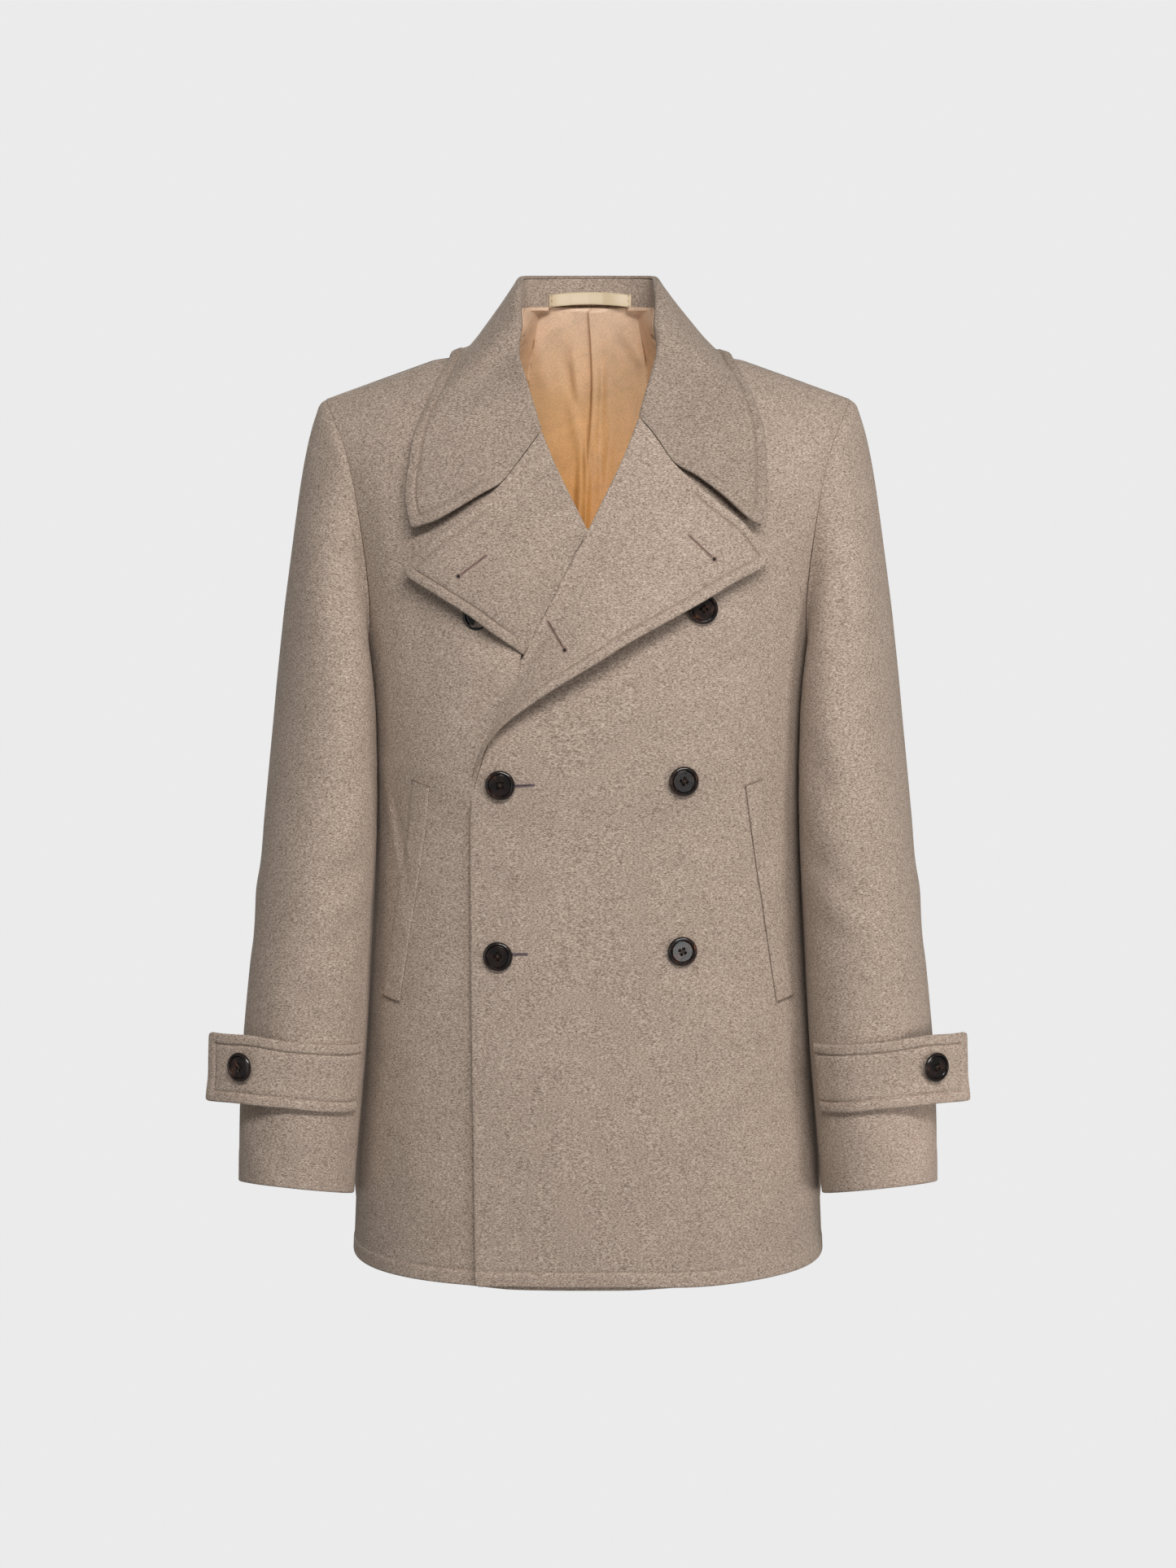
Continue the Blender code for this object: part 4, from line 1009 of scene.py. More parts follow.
def makeLapel(side):
    name = "lapel_over" if side > 0 else "lapel_under"
    table = np.array(lapels[side], float)
    keys = np.arange(len(table), dtype=float)
    read = curveThrough(keys, table)
    fade = curveThrough(keys, lapels["gorgeFade"] + [0] * (len(table) - 3))
    gorge, _ = gorgeLines(side)
    plain = np.array(lapels["gorge"][side], float)
    gorgeAt = curveThrough(lapels["columns"], gorge)
    u = np.concatenate([np.linspace(0, 1, 31)[:-1], np.linspace(1, len(table) - 1, 181)])
    c = np.linspace(0, 1, 241)
    row = read(u)
    startX = -edgePast(row[:, 0], side)
    shift = gorgeAt(c) - (plain[0] + (plain[-1] - plain[0]) * c[:, None])
    across = mix(startX[:, None], row[:, 1:2], c) + fade(u)[:, None] * shift[None, :, 0]
    z = mix(row[:, 0:1], row[:, 2:3], c) + fade(u)[:, None] * shift[None, :, 1]
    stand = row[:, 3:4] * smooth(-0.1, 0.9, c)[None] * np.minimum(1, 4 * c)[None]
    plan = np.stack([across, z, stand], -1)
    place, normal = onBody(across, z, True)
    surface = raised(place, normal, frontTop(across, z, side) + 3 + stand)

    # even rows down each column, close together at the two ends
    top = marks["stitched"]
    plan = respace(plan, surface, lambda i, arc: spread(arc[-1], top, marks["free"], 74), 0)
    across, z, stand = plan[..., 0], plan[..., 1], plan[..., 2]
    place, normal = onBody(across, z, True)
    surface = raised(place, normal, frontTop(across, z, side) + 3 + stand)
    crossing = np.zeros(len(plan))
    if side < 0:
        s = fromRoll(across, z)
        for i in range(len(plan)):
            arc = lengths(surface[i])
            hidden = np.nonzero(s[i] < 0)[0]
            if len(hidden):
                k = min(hidden[-1] + 1, len(arc) - 1)
                crossing[i] = np.interp(0, s[i][k - 1 : k + 1], arc[k - 1 : k + 1])
    roll = np.array(lapStep["marks"][:12] + (2.6, 4.5, 8))

    def columns(i, arc):
        length = arc[-1]
        first = min(finish["pastFold"], 0.3 * length)
        if side > 0:
            return spread(length, (0,), top, 40, first)
        cross = min(max(crossing[i], first - roll[0] + 0.01), length)
        hidden = np.linspace(first, cross + roll[0], 12)
        room = max(length - cross, 0)
        around = cross + roll * np.where(roll < 0, 1, min(1, room / 20))
        end = length - np.array(top)[::-1] * min(1, room / 40)
        shown = np.linspace(around[-1], end[0], 32)[1:-1]
        return np.concatenate([hidden[:-1], around, shown, end])

    plan = respace(plan, surface, columns)
    across, z, stand = plan[..., 0], plan[..., 1], plan[..., 2]
    place, normal = onBody(across, z, True)
    if side < 0:
        stand = stand * smooth(0, 40, across - pastAt(z))
    fold = 0.6 * bodyFold(side * across, z, "front")
    merge = smooth(*lapels["merge"], z[:, :1])
    base = (lapels["gap"] + stand) * merge + fold - 2.2 * (1 - merge)
    shift = lapStep["over"]
    outer = frontTop(across, z, side, shift) + base + body["wool"]
    inner = frontTop(across, z, side, shift + lapStep["wall"]) + base
    gap = edgeDistances(raised(place, normal, outer))
    arcShare = gap["start"] / np.maximum(gap["start"] + gap["end"], 1e-6)
    seam = 1 - smooth(0.36, 0.46, arcShare)
    fromFree = np.minimum(gap["end"], gap["first"] + 60 * seam)
    shown = 1.0 if side > 0 else smooth(-2, 4, fromRoll(across, z))
    border = stitchedBorder(fromFree, 1.2, 1.0) * shown * merge
    outer = outer + border
    inner = inner - 0.25 * np.clip(border, 0, None) * smooth(0.5, 4, gap["start"])
    wide = finish["stitched"]
    close = closed(gap, end=wide, first=mix(wide, finish["seam"], seam), last=1.2)
    outer, inner = raised(place, normal, outer), raised(place, normal, inner)
    outer, inner = roundCorner([outer, inner], False, finish["corner"])

    # the turned fold at the roll line
    rollZ = z[:, 0]
    lowX = -edgePast(rollZ, side) + pulledBack(rollZ)

    # the middle of the front's wall, this far from its edge
    def frontMiddle(inset):
        spot, away = onBody(lowX - inset, rollZ, True)
        return raised(spot, away, frontTop(lowX - inset, rollZ, side) - body["wool"] / 2)

    lower = frontMiddle(0)
    lean = unit(frontMiddle(2) - lower)
    outer, inner, close, added = turnedFold(
        outer, inner, close, lower, lean, normal[:, 0], 2.0, 6 if side > 0 else 0
    )
    makeCloth(name, outer, inner, close, wool if side > 0 else lapelShadedWool, side)
    up = withFold(normal, added)
    sewnRow = top.index(finish["inset"])
    notch = int(np.argmax(arcShare[sewnRow] > 0.43)) + added
    path, ups = [
        np.concatenate([grid[sewnRow, notch : -1 - sewnRow], grid[sewnRow:-9, -1 - sewnRow]])
        for grid in (outer, up)
    ]
    if side < 0:
        visible = fromRoll(path[:, 0], path[:, 2]) > 1.5
        path, ups = path[visible], ups[visible]
    stitchLines.append((name, path * [side, 1, 1], ups * [side, 1, 1]))
    print(name, "made")


for side in (1, -1):
    makeLapel(side)


def leafStations(side):
    columns = np.array(lapels["columns"])
    _, ends = gorgeLines(side)
    faces, lowers, towards = [], [], []
    for i, (foldX, foldZ, edgeX, edgeZ, stand) in enumerate(collar[side]):
        across = mix(foldX, edgeX, columns)
        z = mix(foldZ, edgeZ, columns)
        if i == 0:
            across, z = ends[:, 0], ends[:, 1]
        place, normal = onBody(across, z, True)
        lift = frontTop(across, z, side) + 3.4 + stand * smooth(-0.1, 0.9, columns)
        faces.append(place + normal * lift[:, None])
        lowX = -edgePast(float(z[0]), side) + cutLines["pullBack"] - np.array([0, 2.0])
        low, lowNormal = onBody(lowX, np.full(2, z[0]), True)
        lifts = frontTop(lowX, z[0], side) - body["wool"] / 2
        low = low + lowNormal * np.reshape(lifts, (2, 1))
        lowers.append(low[0])
        towards.append(unit(low[1] - low[0]))
    for row, foot in zip(collar["neck"], collar["foot"]):
        fold = np.array(row[:3], float)
        edge = np.array([row[3] if side > 0 else row[4], row[5], row[6]], float)
        out = unit(np.array([edge[0] - fold[0], edge[1] - fold[1], 0]))
        rise = unit(out + [0, 0, 1])
        c = columns[:, None]
        faces.append(mix(fold, edge, c) + rise * row[7] * 4 * c * (1 - c))
        flat = unit(np.array([fold[0], fold[1] + 8, 0]))
        top = fold - flat * collar["inset"]
        up = unit(top - np.array(foot, float))
        lowers.append(top - flat * body["wool"] / 2 - up * 3)
        towards.append(up)
    return np.array(faces), np.array(lowers), np.array(towards)


# A line of stitches down the first row, along the last column and back up the last row
def sewRound(name, grid, up, inset, start, side=1):
    last = -1 - inset
    lines = [
        np.concatenate([g[inset, start:last], g[inset:last, last], g[last, start:last][::-1]])
        for g in (grid, up)
    ]
    stitchLines.append((name, lines[0] * [side, 1, 1], lines[1] * [side, 1, 1]))


def aroundNeck(over, under):
    return np.concatenate([under * [-1, 1, 1], over[:-1][::-1]])


def makeLeaf():
    over, under = leafStations(1), leafStations(-1)
    faces, lowers, towards = [aroundNeck(a, b) for a, b in zip(over, under)]
    steps = np.linalg.norm(np.diff(faces[:, 2:], axis=0), axis=-1).mean(-1)
    along = np.concatenate([[0], np.cumsum(steps)])
    t = np.linspace(0, along[-1], 501)
    lines = curveThrough(along, faces)(t)
    c = np.linspace(0, 1, 121)
    surface = curveThrough(lapels["columns"], lines.transpose(1, 0, 2))(c).transpose(1, 0, 2)
    chest = np.minimum(t, along[-1] - t)
    clear = 3.4 + 0.6 * smooth(along[3] - 10, along[4], chest)
    surface = keepClear(surface, clear[:, None] * smooth(0, 0.12, c)[None])
    top = marks["stitched"]
    key = np.repeat(t[:, None], len(c), 1)[..., None]
    packed = np.concatenate([surface, key], -1)
    packed = respace(packed, surface, lambda i, arc: spread(arc[-1], top, top, 118), 0)

    def columns(i, arc):
        return spread(arc[-1], (0,), top, 26, min(finish["pastFold"], 0.3 * arc[-1]))

    packed = respace(packed, packed[..., :3], columns)
    surface, key = packed[..., :3], packed[..., 3]
    normal = collarNormals(surface)
    gap = edgeDistances(surface)
    share = gap["start"] / np.maximum(gap["start"] + gap["end"], 1e-6)
    seam = 1 - smooth(0.36, 0.46, share)
    ends = np.minimum(gap["first"], gap["last"]) + 60 * seam
    border = stitchedBorder(np.minimum(gap["end"], ends), 1.2, 1.0)
    fold = foldHeight(surface[..., 0], surface[..., 1], leafFolds)
    fold = fold * smooth(4, 30, gap["end"]) * smooth(0, 12, gap["start"])
    outer = raised(surface, normal, border + fold)
    lift = 0.25 * np.clip(border, 0, None) * smooth(0.5, 4, gap["start"])
    inner = raised(surface, normal, fold - body["wool"] - lift)
    wide = finish["stitched"]
    seamWide = mix(wide, finish["seam"], seam)
    close = closed(gap, end=wide, first=seamWide, last=seamWide)
    outer, inner = roundCorner([outer, inner], False, finish["corner"])
    outer, inner = roundCorner([outer, inner], True, finish["corner"])
    lower = curveThrough(along, lowers)(key[:, 0])
    lean = unit(curveThrough(along, towards)(key[:, 0]))
    outer, inner, close, added = turnedFold(outer, inner, close, lower, lean, normal[:, 0], 1.55)
    makeCloth("collar_leaf", outer, inner, close, collarShadedWool)
    sewnRow = top.index(finish["inset"])
    notch = int(np.argmax(share[sewnRow] > 0.45)) + added
    sewRound("collar_leaf", outer, withFold(normal, added), sewnRow, notch)
    print("collar leaf made")


# Soft waves of the collar's leaf: ends (x, y, x, y), half width and height
leafFolds = [
    (-92, -40, -118, 30, 16.0, -1.0), (92, -40, 120, 28, 16.0, -1.0), (-40, 78, -70, 88, 18.0, 0.9),
    (44, 78, 66, 86, 18.0, 0.9),
]


# The stand's seam, its top under the leaf's fold and the level way out, from behind the
# neck to the front
def standLines():
    feet = np.array(collar["foot"][::-1], float)
    folds = np.array([row[:3] for row in collar["neck"]][::-1], float)
    flat = unit(np.stack([folds[:, 0], folds[:, 1] + 8, 0 * folds[:, 0]], -1))
    return feet, folds - flat * collar["inset"], flat


def makeStand():
    feet, tops, _ = [line[::-1] for line in standLines()]
    tops = tops - unit(tops - feet) * 3
    feet, tops = aroundNeck(feet, feet), aroundNeck(tops, tops)
    along = lengths(feet)
    t = spread(along[-1], (0, 0.4, 1, 2), (0, 0.4, 1, 2), 84)
    foot, top = curveThrough(along, feet)(t), curveThrough(along, tops)(t)
    height = float(np.linalg.norm(top - foot, axis=-1).mean())
    c = spread(height, marks["seam"], marks["seam"], 7) / height
    outer = foot[:, None] + (top - foot)[:, None] * c[None, :, None]
    normal = collarNormals(outer)
    outer = outer - normal * 0.24 * np.sin(math.pi * c)[None, :, None]
    inner = outer - normal * body["wool"]
    close = closed(edgeDistances(outer), start=0.5, end=0.5, first=1.2, last=1.2)
    makeCloth("collar_stand", outer, inner, close, wool)
    print("collar stand made")


makeLeaf()
makeStand()


sleeve = {
    # height, centre x and y, half reach, half depth, turn, rise to the front
    "rings": [
        (-300, 215.0, -30, 42.8, 68, 20, 0.03), (-355, 217.2, -38, 45.6, 66, 20, 0.05),
        (-418, 220.8, -46, 47.6, 63, 19, 0.07), (-495, 227.0, -52, 49.0, 58, 16, 0.07),
        (-576, 233.3, -56, 50.8, 54.5, 12, 0.07), (-631, 237.7, -58, 50.2, 52.5, 10, 0.09),
        (-707, 242.5, -60, 47.5, 50.5, 8, 0.26),
    ],
    "stations": 20,  # round a sleeve, from its outer side over the front
    "seams": (8, 14), "clear": 3.0,
    # soft folds: angle and height at both ends, half width, height
    "folds": [
        (62, -120, 74, -235, 15.0, -1.6), (40, -140, 46, -250, 16.0, 1.3),
        (88, -190, 58, -300, 14.0, -1.4), (120, -330, 74, -395, 13.0, -1.5),
        (104, -300, 60, -360, 15.0, 1.3), (128, -418, 78, -452, 12.0, -1.8),
        (120, -446, 66, -480, 13.0, 1.5), (122, -478, 82, -500, 11.0, -1.5),
        (66, -520, 92, -566, 13.0, -1.1), (48, -500, 58, -575, 16.0, 1.1),
        (40, -655, 84, -676, 11.0, -1.2), (70, -668, 118, -646, 13.0, 1.0),
        (20, -640, 52, -690, 14.0, 0.9), (-60, -400, -20, -440, 14.0, -1.6),
        (-64, -430, -16, -470, 15.0, 1.5), (-58, -470, -10, -505, 14.0, -1.4),
        (-30, -150, -42, -280, 18.0, -1.5), (-62, -130, -76, -260, 16.0, 1.4),
        (150, -300, 175, -350, 14.0, 1.2), (196, -430, 240, -470, 14.0, -1.4),
        (205, -520, 235, -640, 16.0, 1.2), (-40, -560, -56, -680, 18.0, 1.2),
    ],
}
ringTable = np.array(sleeve["rings"], float)
capEnd, cuffEnd = ringTable[0, 0], ringTable[-1, 0]
ringAt = curveThrough(ringTable[:, 0], ringTable[:, 1:])


def ringPoint(z, angle):
    row = ringAt(z)
    x, y, reach, deep, turn, climb = [row[..., k] for k in range(6)]
    turn = np.radians(turn)
    across = np.sqrt(reach**2 - (deep * np.sin(turn)) ** 2) / np.cos(turn)
    outX = across * np.cos(angle)
    aheadX = deep * np.sin(angle)
    shiftX = np.cos(turn) * outX - np.sin(turn) * aheadX
    shiftY = -np.sin(turn) * outX - np.cos(turn) * aheadX
    rise = (0.06 + 0.05 * smooth(-640, -705, z)) * shiftX - climb * shiftY
    return np.stack([x + shiftX, y + shiftY, z + rise], -1)


def armholePlace(s):
    front = s <= 10
    v = np.where(front, 20 - s, s)
    x = np.where(front, frontEndAt(v), backEndAt(v))
    z = sideHeightAt(v)
    place = np.empty(np.shape(s) + (3,))
    normal = np.empty_like(place)
    for face in (True, False):
        pick = front == face
        if pick.any():
            place[pick], normal[pick] = onBody(x[pick], z[pick], face)
    return place, normal


def sleeveGrid(stations):
    s = np.mod(stations, sleeve["stations"])
    angle = 2 * math.pi * stations / sleeve["stations"]
    start, startNormal = armholePlace(s)
    first = keepClear(ringPoint(np.full(len(s), capEnd), angle), sleeve["clear"])
    top = (1 + np.cos(angle)) / 2
    leave = np.stack([np.full(len(s), 0.9), -0.28 * np.sin(angle), -0.36 - 0.46 * (1 - top)], -1)
    leave = unit(leave) * (10 + 52 * top**0.7)[:, None]
    arrive = np.array([0.05, -0.05, -1.0]) * (42 + 205 * top)[:, None]
    t = np.concatenate([[0, 0.003, 0.007, 0.013, 0.022, 0.036], np.linspace(0.055, 1, 48)])
    t = t[:, None, None]
    a, b, c, d = hermite(t)
    cap = start * a + leave * b + first * c + arrive * d
    low = smooth(0.42, 0.16, np.cos(angle))
    want = sleeve["clear"] * np.minimum(1, 5 * t[..., 0])
    cap[1:] = keepClear(cap[1:], (mix(-40, 0, low)[None] + want * low[None])[1:])
    heights = np.concatenate(
        [np.arange(capEnd - 5.2, cuffEnd + 9, -5.3), cuffEnd + np.array(marks["free"])[::-1]]
    )
    tube = ringPoint(heights[:, None] + 0 * angle[None], angle[None] + 0 * heights[:, None])
    tube = keepClear(tube, sleeve["clear"])
    grid = np.concatenate([cap, tube])
    joint = len(cap)
    for _ in range(30):
        part = grid[joint - 12 : joint + 9]
        part[1:-1] = 0.5 * part[1:-1] + 0.25 * (part[:-2] + part[2:])
    return grid, startNormal


def makeSleevePiece(side, first, last, name):
    step = 360 / sleeve["stations"]
    edges = np.array(marks["seam"]) / 18.0
    count = int((last - first) * step / 5.6)
    inside = np.linspace(first + edges[-1], last - edges[-1], count + 2)[1:-1]
    stations = np.concatenate([first + edges, inside, last - edges[::-1]])
    pit = 10 + np.array([-0.12, -0.06, -0.03, 0.03, 0.06, 0.12])
    if first < 10 < last:
        stations = np.sort(np.concatenate([stations, pit]))
    wide = np.concatenate([[first - 0.1], stations, [last + 0.1]])
    grid, startNormal = sleeveGrid(wide)
    normal = gridNormals(grid)
    k = len(wide) // 2
    if normal[-1, k] @ (grid[-1, k] - [*ringTable[-1, 1:3], grid[-1, 0, 2]]) < 0:
        normal = -normal
    share = smooth(-0.3, 0.5, np.cos(wide * 2 * math.pi / sleeve["stations"]))[:, None]
    for k in range(8):
        fade = 1 - k / 8
        normal[k] = unit(mix(normal[k], startNormal, share * fade))
    grid, normal = grid[:, 1:-1], normal[:, 1:-1]
    angle = np.mod(stations * step + 180, 360) - 180
    frontSeam, backSeam = sleeve["seams"]
    under = (stations >= frontSeam) & (stations <= backSeam)
    angle = np.where(under, stations * step, angle)
    fold = foldHeight(angle[None] * 0.9 + 0 * grid[..., 2], grid[..., 2], sleeveFoldRows)
    gap = edgeDistances(grid)
    clear = smooth(0, 26, gap["first"])
    cuffBand = 1 - smooth(24, 27, gap["last"])
    # the cap swells a little beside its seam, where the wool was eased in
    eased = np.exp(-(((gap["first"] - 7) / 5) ** 2))
    eased = eased * smooth(-0.2, 0.6, np.cos(np.radians(angle)))[None]
    fold = fold * clear + 0.8 * eased
    outer = raised(grid, normal, fold + 0.35 * cuffBand)
    inner = raised(grid, normal, fold - body["wool"] - 0.9 * cuffBand)
    close = closed(gap, last=1.8, first=0.6, start=0.5, end=0.5)
    makeCloth(name, outer, inner, close, wool, side)


sleeveFoldRows = [(a * 0.9, za, b * 0.9, zb, w, h) for a, za, b, zb, w, h in sleeve["folds"]]
frontSeam, backSeam = sleeve["seams"]
for word, side in sides:
    makeSleevePiece(side, backSeam, frontSeam + sleeve["stations"], "top_sleeve_" + word)
    makeSleevePiece(side, frontSeam, backSeam, "under_sleeve_" + word)
print("sleeves made")

strap = {
    "rows": [
        (142, 0.35), (126, 0.35), (108, 0.35), (90, 0.6), (75, 2.0), (60, 5.0), (47, 9.0),
        (35, 13.0), (24, 18.5), (12, 25.5), (2, 31.0), (-6, 35.0),
    ],
    "top": -574.5, "height": 53.5, "taper": -1.8, "drop": 3.0, "wall": 3.4,
}
(strapLift,) = columnCurves(strap["rows"])


def strapPlace(degrees, z):
    angle = np.radians(degrees)
    here = ringPoint(z, angle)
    along = ringPoint(z, angle + 0.035) - ringPoint(z, angle - 0.035)
    away = unit(np.stack([-along[..., 1], along[..., 0], 0 * along[..., 0]], -1))
    centre = ringAt(z)[..., :2]
    flip = (away[..., :2] * (here[..., :2] - centre)).sum(-1) < 0
    away = np.where(flip[..., None], -away, away)
    return here + away * strapLift(degrees)[..., None], away


def makeStrap(side, name):
    share = np.linspace(0, 1, 61)[:, None]
    degrees = np.linspace(142, 12, 241)[None, :]
    degrees = degrees - 4.0 * (1 - share) * smooth(60, 12, degrees)
    z = strap["top"] - strap["height"] * share
    z = z - strap["taper"] * smooth(90, 0, degrees) * (1 - share)
    z = z + 2.6 * np.exp(-(((degrees - 40) / 20) ** 2)) * (1 - share)
    z = z - (4.5 * smooth(20, 135, degrees) + 2.4 * smooth(40, 2, degrees)) * share
    z = z - strap["drop"] * smooth(70, 142, degrees)
    degrees = degrees + 0 * z
    place, away = strapPlace(degrees, z)
    edge = marks["stitched"][:-1]
    plan = np.stack([degrees, z], -1)
    plan = respace(plan, place, lambda i, arc: spread(arc[-1], (0, 0.5, 1, 2, 4), edge, 34))
    place, away = strapPlace(plan[..., 0], plan[..., 1])
    plan = respace(plan, place, lambda i, arc: spread(arc[-1], edge, edge, 8), 0)
    place, away = strapPlace(plan[..., 0], plan[..., 1])
    gap = edgeDistances(place)
    free = toEdge(gap, ("first", "last", "end"))
    border = stitchedBorder(free, 1.0, 1.15)
    sag = 0.5 * np.sin(np.radians(plan[..., 0]) * 3.1 + 0.6) * smooth(3, 30, gap["start"])
    # the lower edge stands a little off the sleeve
    low = smooth(strap["top"] - 30, strap["top"] - strap["height"] - 4, plan[..., 1])
    off = 2.4 * low * smooth(8, 50, gap["start"])
    outer = raised(place, away, strap["wall"] - 0.3 + border + sag + off)
    inner = raised(place, away, sag + off - 0.1)
    outer, inner = roundCorner([outer, inner], False, 4.5)
    outer, inner = roundCorner([outer, inner], True, 4.5)
    close = np.maximum(closing(free, 1.9), closing(gap["start"], 0.8))
    makeCloth(name, outer, inner, close, wool, side)
    sewRound(name, outer, away, edge.index(finish["inset"]), 1, side)


for word, side in sides:
    makeStrap(side, "strap_" + word)
print("straps made")


welt = {
    "top": ((124.0, -361), (137.5, -357)), "foot": ((153.0, -543), (167.0, -541)), "wall": 1.5,
    "lift": 0.25,
}


endLines = []


def makeWelt(side, name):
    long, ends = 186, (0, 0.3, 0.8, 1.5, 2.5, 4)
    t = spread(long, ends, ends, 36)[:, None] / long
    c = np.array([0, 0.02, 0.06, 0.12, 0.2, 0.32, 0.5, 0.68, 0.8, 0.88, 0.94, 0.98, 1])[None]
    (x0, z0), (x1, z1) = welt["top"]
    (x2, z2), (x3, z3) = welt["foot"]
    across = mix(mix(x0, x2, t), mix(x1, x3, t), c)
    z = mix(mix(z0, z2, t), mix(z1, z3, t), c)
    place, normal = onBody(across, z, True)
    fold = bodyFold(side * across, z, "front")
    base = frontTop(across, z, side) + fold + welt["lift"]
    puff = 0.35 * np.sin(math.pi * c)
    outer = raised(place, normal, base + welt["wall"] + puff)
    inner = raised(place, normal, base)
    makeCloth(name, outer, inner, closing(toEdge(edgeDistances(place)), 1.2), wool, side)
    for k in (1, -2):
        line = outer[k] + normal[k] * 0.05
        endLines.append((line * [side, 1, 1], normal[k] * [side, 1, 1]))


for word, side in sides:
    makeWelt(side, "welt_" + word)

# Wrinkles of the lining: ends (x, z, x, z), half width and height; inwards is above 0
liningFolds = [
    (10, -66, 50, -68, 2.2, -2.6), (12, -61.5, 50, -62, 3.6, 2.4), (22, -10, 42, -40, 3.6, -2.6),
    (32, -6, 52, -34, 4.6, 2.4), (16, -28, 34, -50, 4.0, 2.0), (8, -18, 26, -30, 3.2, -1.6),
    (-12, -8, -9, -70, 4.5, 2.0), (-22, -24, -5, -84, 4.0, -2.0), (-44, -8, -36, -50, 7.0, 1.6),
    (-16, -60, -3, -112, 4.0, 2.4), (16, -80, 9, -140, 3.4, 2.2), (20, -92, 13, -124, 3.0, -1.8),
    (-60, -200, 70, -260, 22.0, 1.6), (-80, -420, 90, -400, 24.0, 1.6),
    (-30, -300, -10, -600, 24.0, 1.4),
]


pleatLine = curveThrough([-740, -300, -131, -106, -54, -15, 12], [-12, -12, -9.7, -1.4, 3, 2, 0])


# The lining climbs the stand's inner side, level with the seam at the back
def neckFacings():
    feet, tops, flat = standLines()
    share = np.clip((15.3 - feet[:, 2]) / (tops[:, 2] - feet[:, 2]), 0.04, 0.74)[:, None]
    inwards = flat * (body["wool"] + 0.7)
    lower, upper = feet - inwards - [0, 0, 2.0], feet + (tops - feet) * share - inwards
    along = lengths(feet)
    t = np.linspace(along[2], along[-1], 40)
    c = np.array([0, 0.04, 0.12, 0.3, 0.55, 0.8, 0.94, 1])[None, :, None]
    face = mix(curveThrough(along, lower)(t)[:, None], curveThrough(along, upper)(t)[:, None], c)
    away = curveThrough(along, flat)(t)[:, None]
    close = closing(toEdge(edgeDistances(face)), 0.5)
    return [clothMesh("neckFacing", face - away * 1.0, face, close, side) for side in (1, -1)]


def makeLining():
    topRows = rowCount - 1 - np.array([0.6, 0.35, 0.18, 0.08, 0.03, 0])
    v = np.concatenate([rowList(np.arange(-745, -20, 6.0)), topRows])
    x, z = backLines(v, np.linspace(0, 0.86, 121))
    x = np.concatenate([-x[:, :0:-1], x], 1)
    z = np.concatenate([z[:, :0:-1], z], 1)
    place, normal = onBody(x, z, False)
    near = np.concatenate([np.arange(-48, -16, 1.5), np.arange(-16, 9, 0.4), np.arange(9, 49, 1.5)])

    def columns(i, arc):
        centre = arc[-1] / 2
        half = np.linspace(0, centre - 50, 26)
        return np.concatenate([half, centre + near, centre + 50 + half])

    plan = respace(np.stack([x, z], -1), place, columns)
    x, z = plan[..., 0], plan[..., 1]
    place, normal = onBody(x, z, False)
    nearNeck = smooth(rowCount - 1.8, rowCount - 1, v)[:, None]
    gap = mix(body["layerGap"], body["layerGap"] / 2, nearNeck)
    s = x - pleatLine(z)
    slack = 4 * smooth(-80, -150, z)
    pleat = 4.4 * smooth(-0.5, 0.7, s / (1 + slack)) * np.exp(-((np.clip(s, 0, None) / 13) ** 2))
    pleat = pleat + 2.0 * np.exp(-(((s - 9) / 2.6) ** 2)) * smooth(0, -40, z)
    pleat = pleat * (1 - 0.55 * smooth(-150, -260, z))
    fold = foldHeight(x, z, liningFolds) * smooth(rowCount - 1, rowCount - 1.3, v)[:, None]
    out = -(body["wool"] + gap + np.clip(pleat + fold + 1.2, 0, None))
    outer, inner = raised(place, normal, out), raised(place, normal, out - 1.0)
    # the top edge meets the collar stand's seam
    foot = standLines()[0]
    inwards = unit(foot * [1, 1, 0] + [0, 8, 0]) * (body["wool"] + 0.5)
    foot = foot - inwards + [0, 0, 1.0]
    footAt = curveThrough(lengths(foot)[:-1], foot[:-1])
    last = outer[-1]
    centre = len(last[:, 0]) // 2
    arc = lengths(last) - lengths(last)[centre]
    neckArc = float(np.interp(57, last[centre:, 0], arc[centre:]))
    reach = np.clip(np.abs(arc) / neckArc, 0, 1)
    goal = footAt(reach * lengths(foot)[-2])
    goal[:, 0] *= np.sign(arc + 1e-9)
    move = goal - last
    for hand in (1, -1):
        beyond = (hand * arc) > neckArc
        edge = int(np.argmin(np.abs(hand * arc - neckArc)))
        move[beyond] = move[edge] * (1 - smooth(0, 25, np.abs(arc[beyond]) - neckArc))[:, None]
    weight = smooth(rowCount - 2.6, rowCount - 1, v)[:, None, None]
    outer = outer + weight * move[None]
    inner = inner + weight * move[None]
    close = closing(toEdge(edgeDistances(place)), 0.6)
    makeCloth("back_lining", outer, inner, close, lining, 1, neckFacings())


def standInside(x, z):
    feet, tops, _ = standLines()
    x = np.abs(x)
    foot, top = [
        np.stack([np.interp(x, feet[:, 0], line[:, k]) for k in range(3)], -1)
        for line in (feet, tops)
    ]
    share = (z - foot[..., 2]) / (top[..., 2] - foot[..., 2])
    return mix(foot[..., 1], top[..., 1], share) - body["wool"]


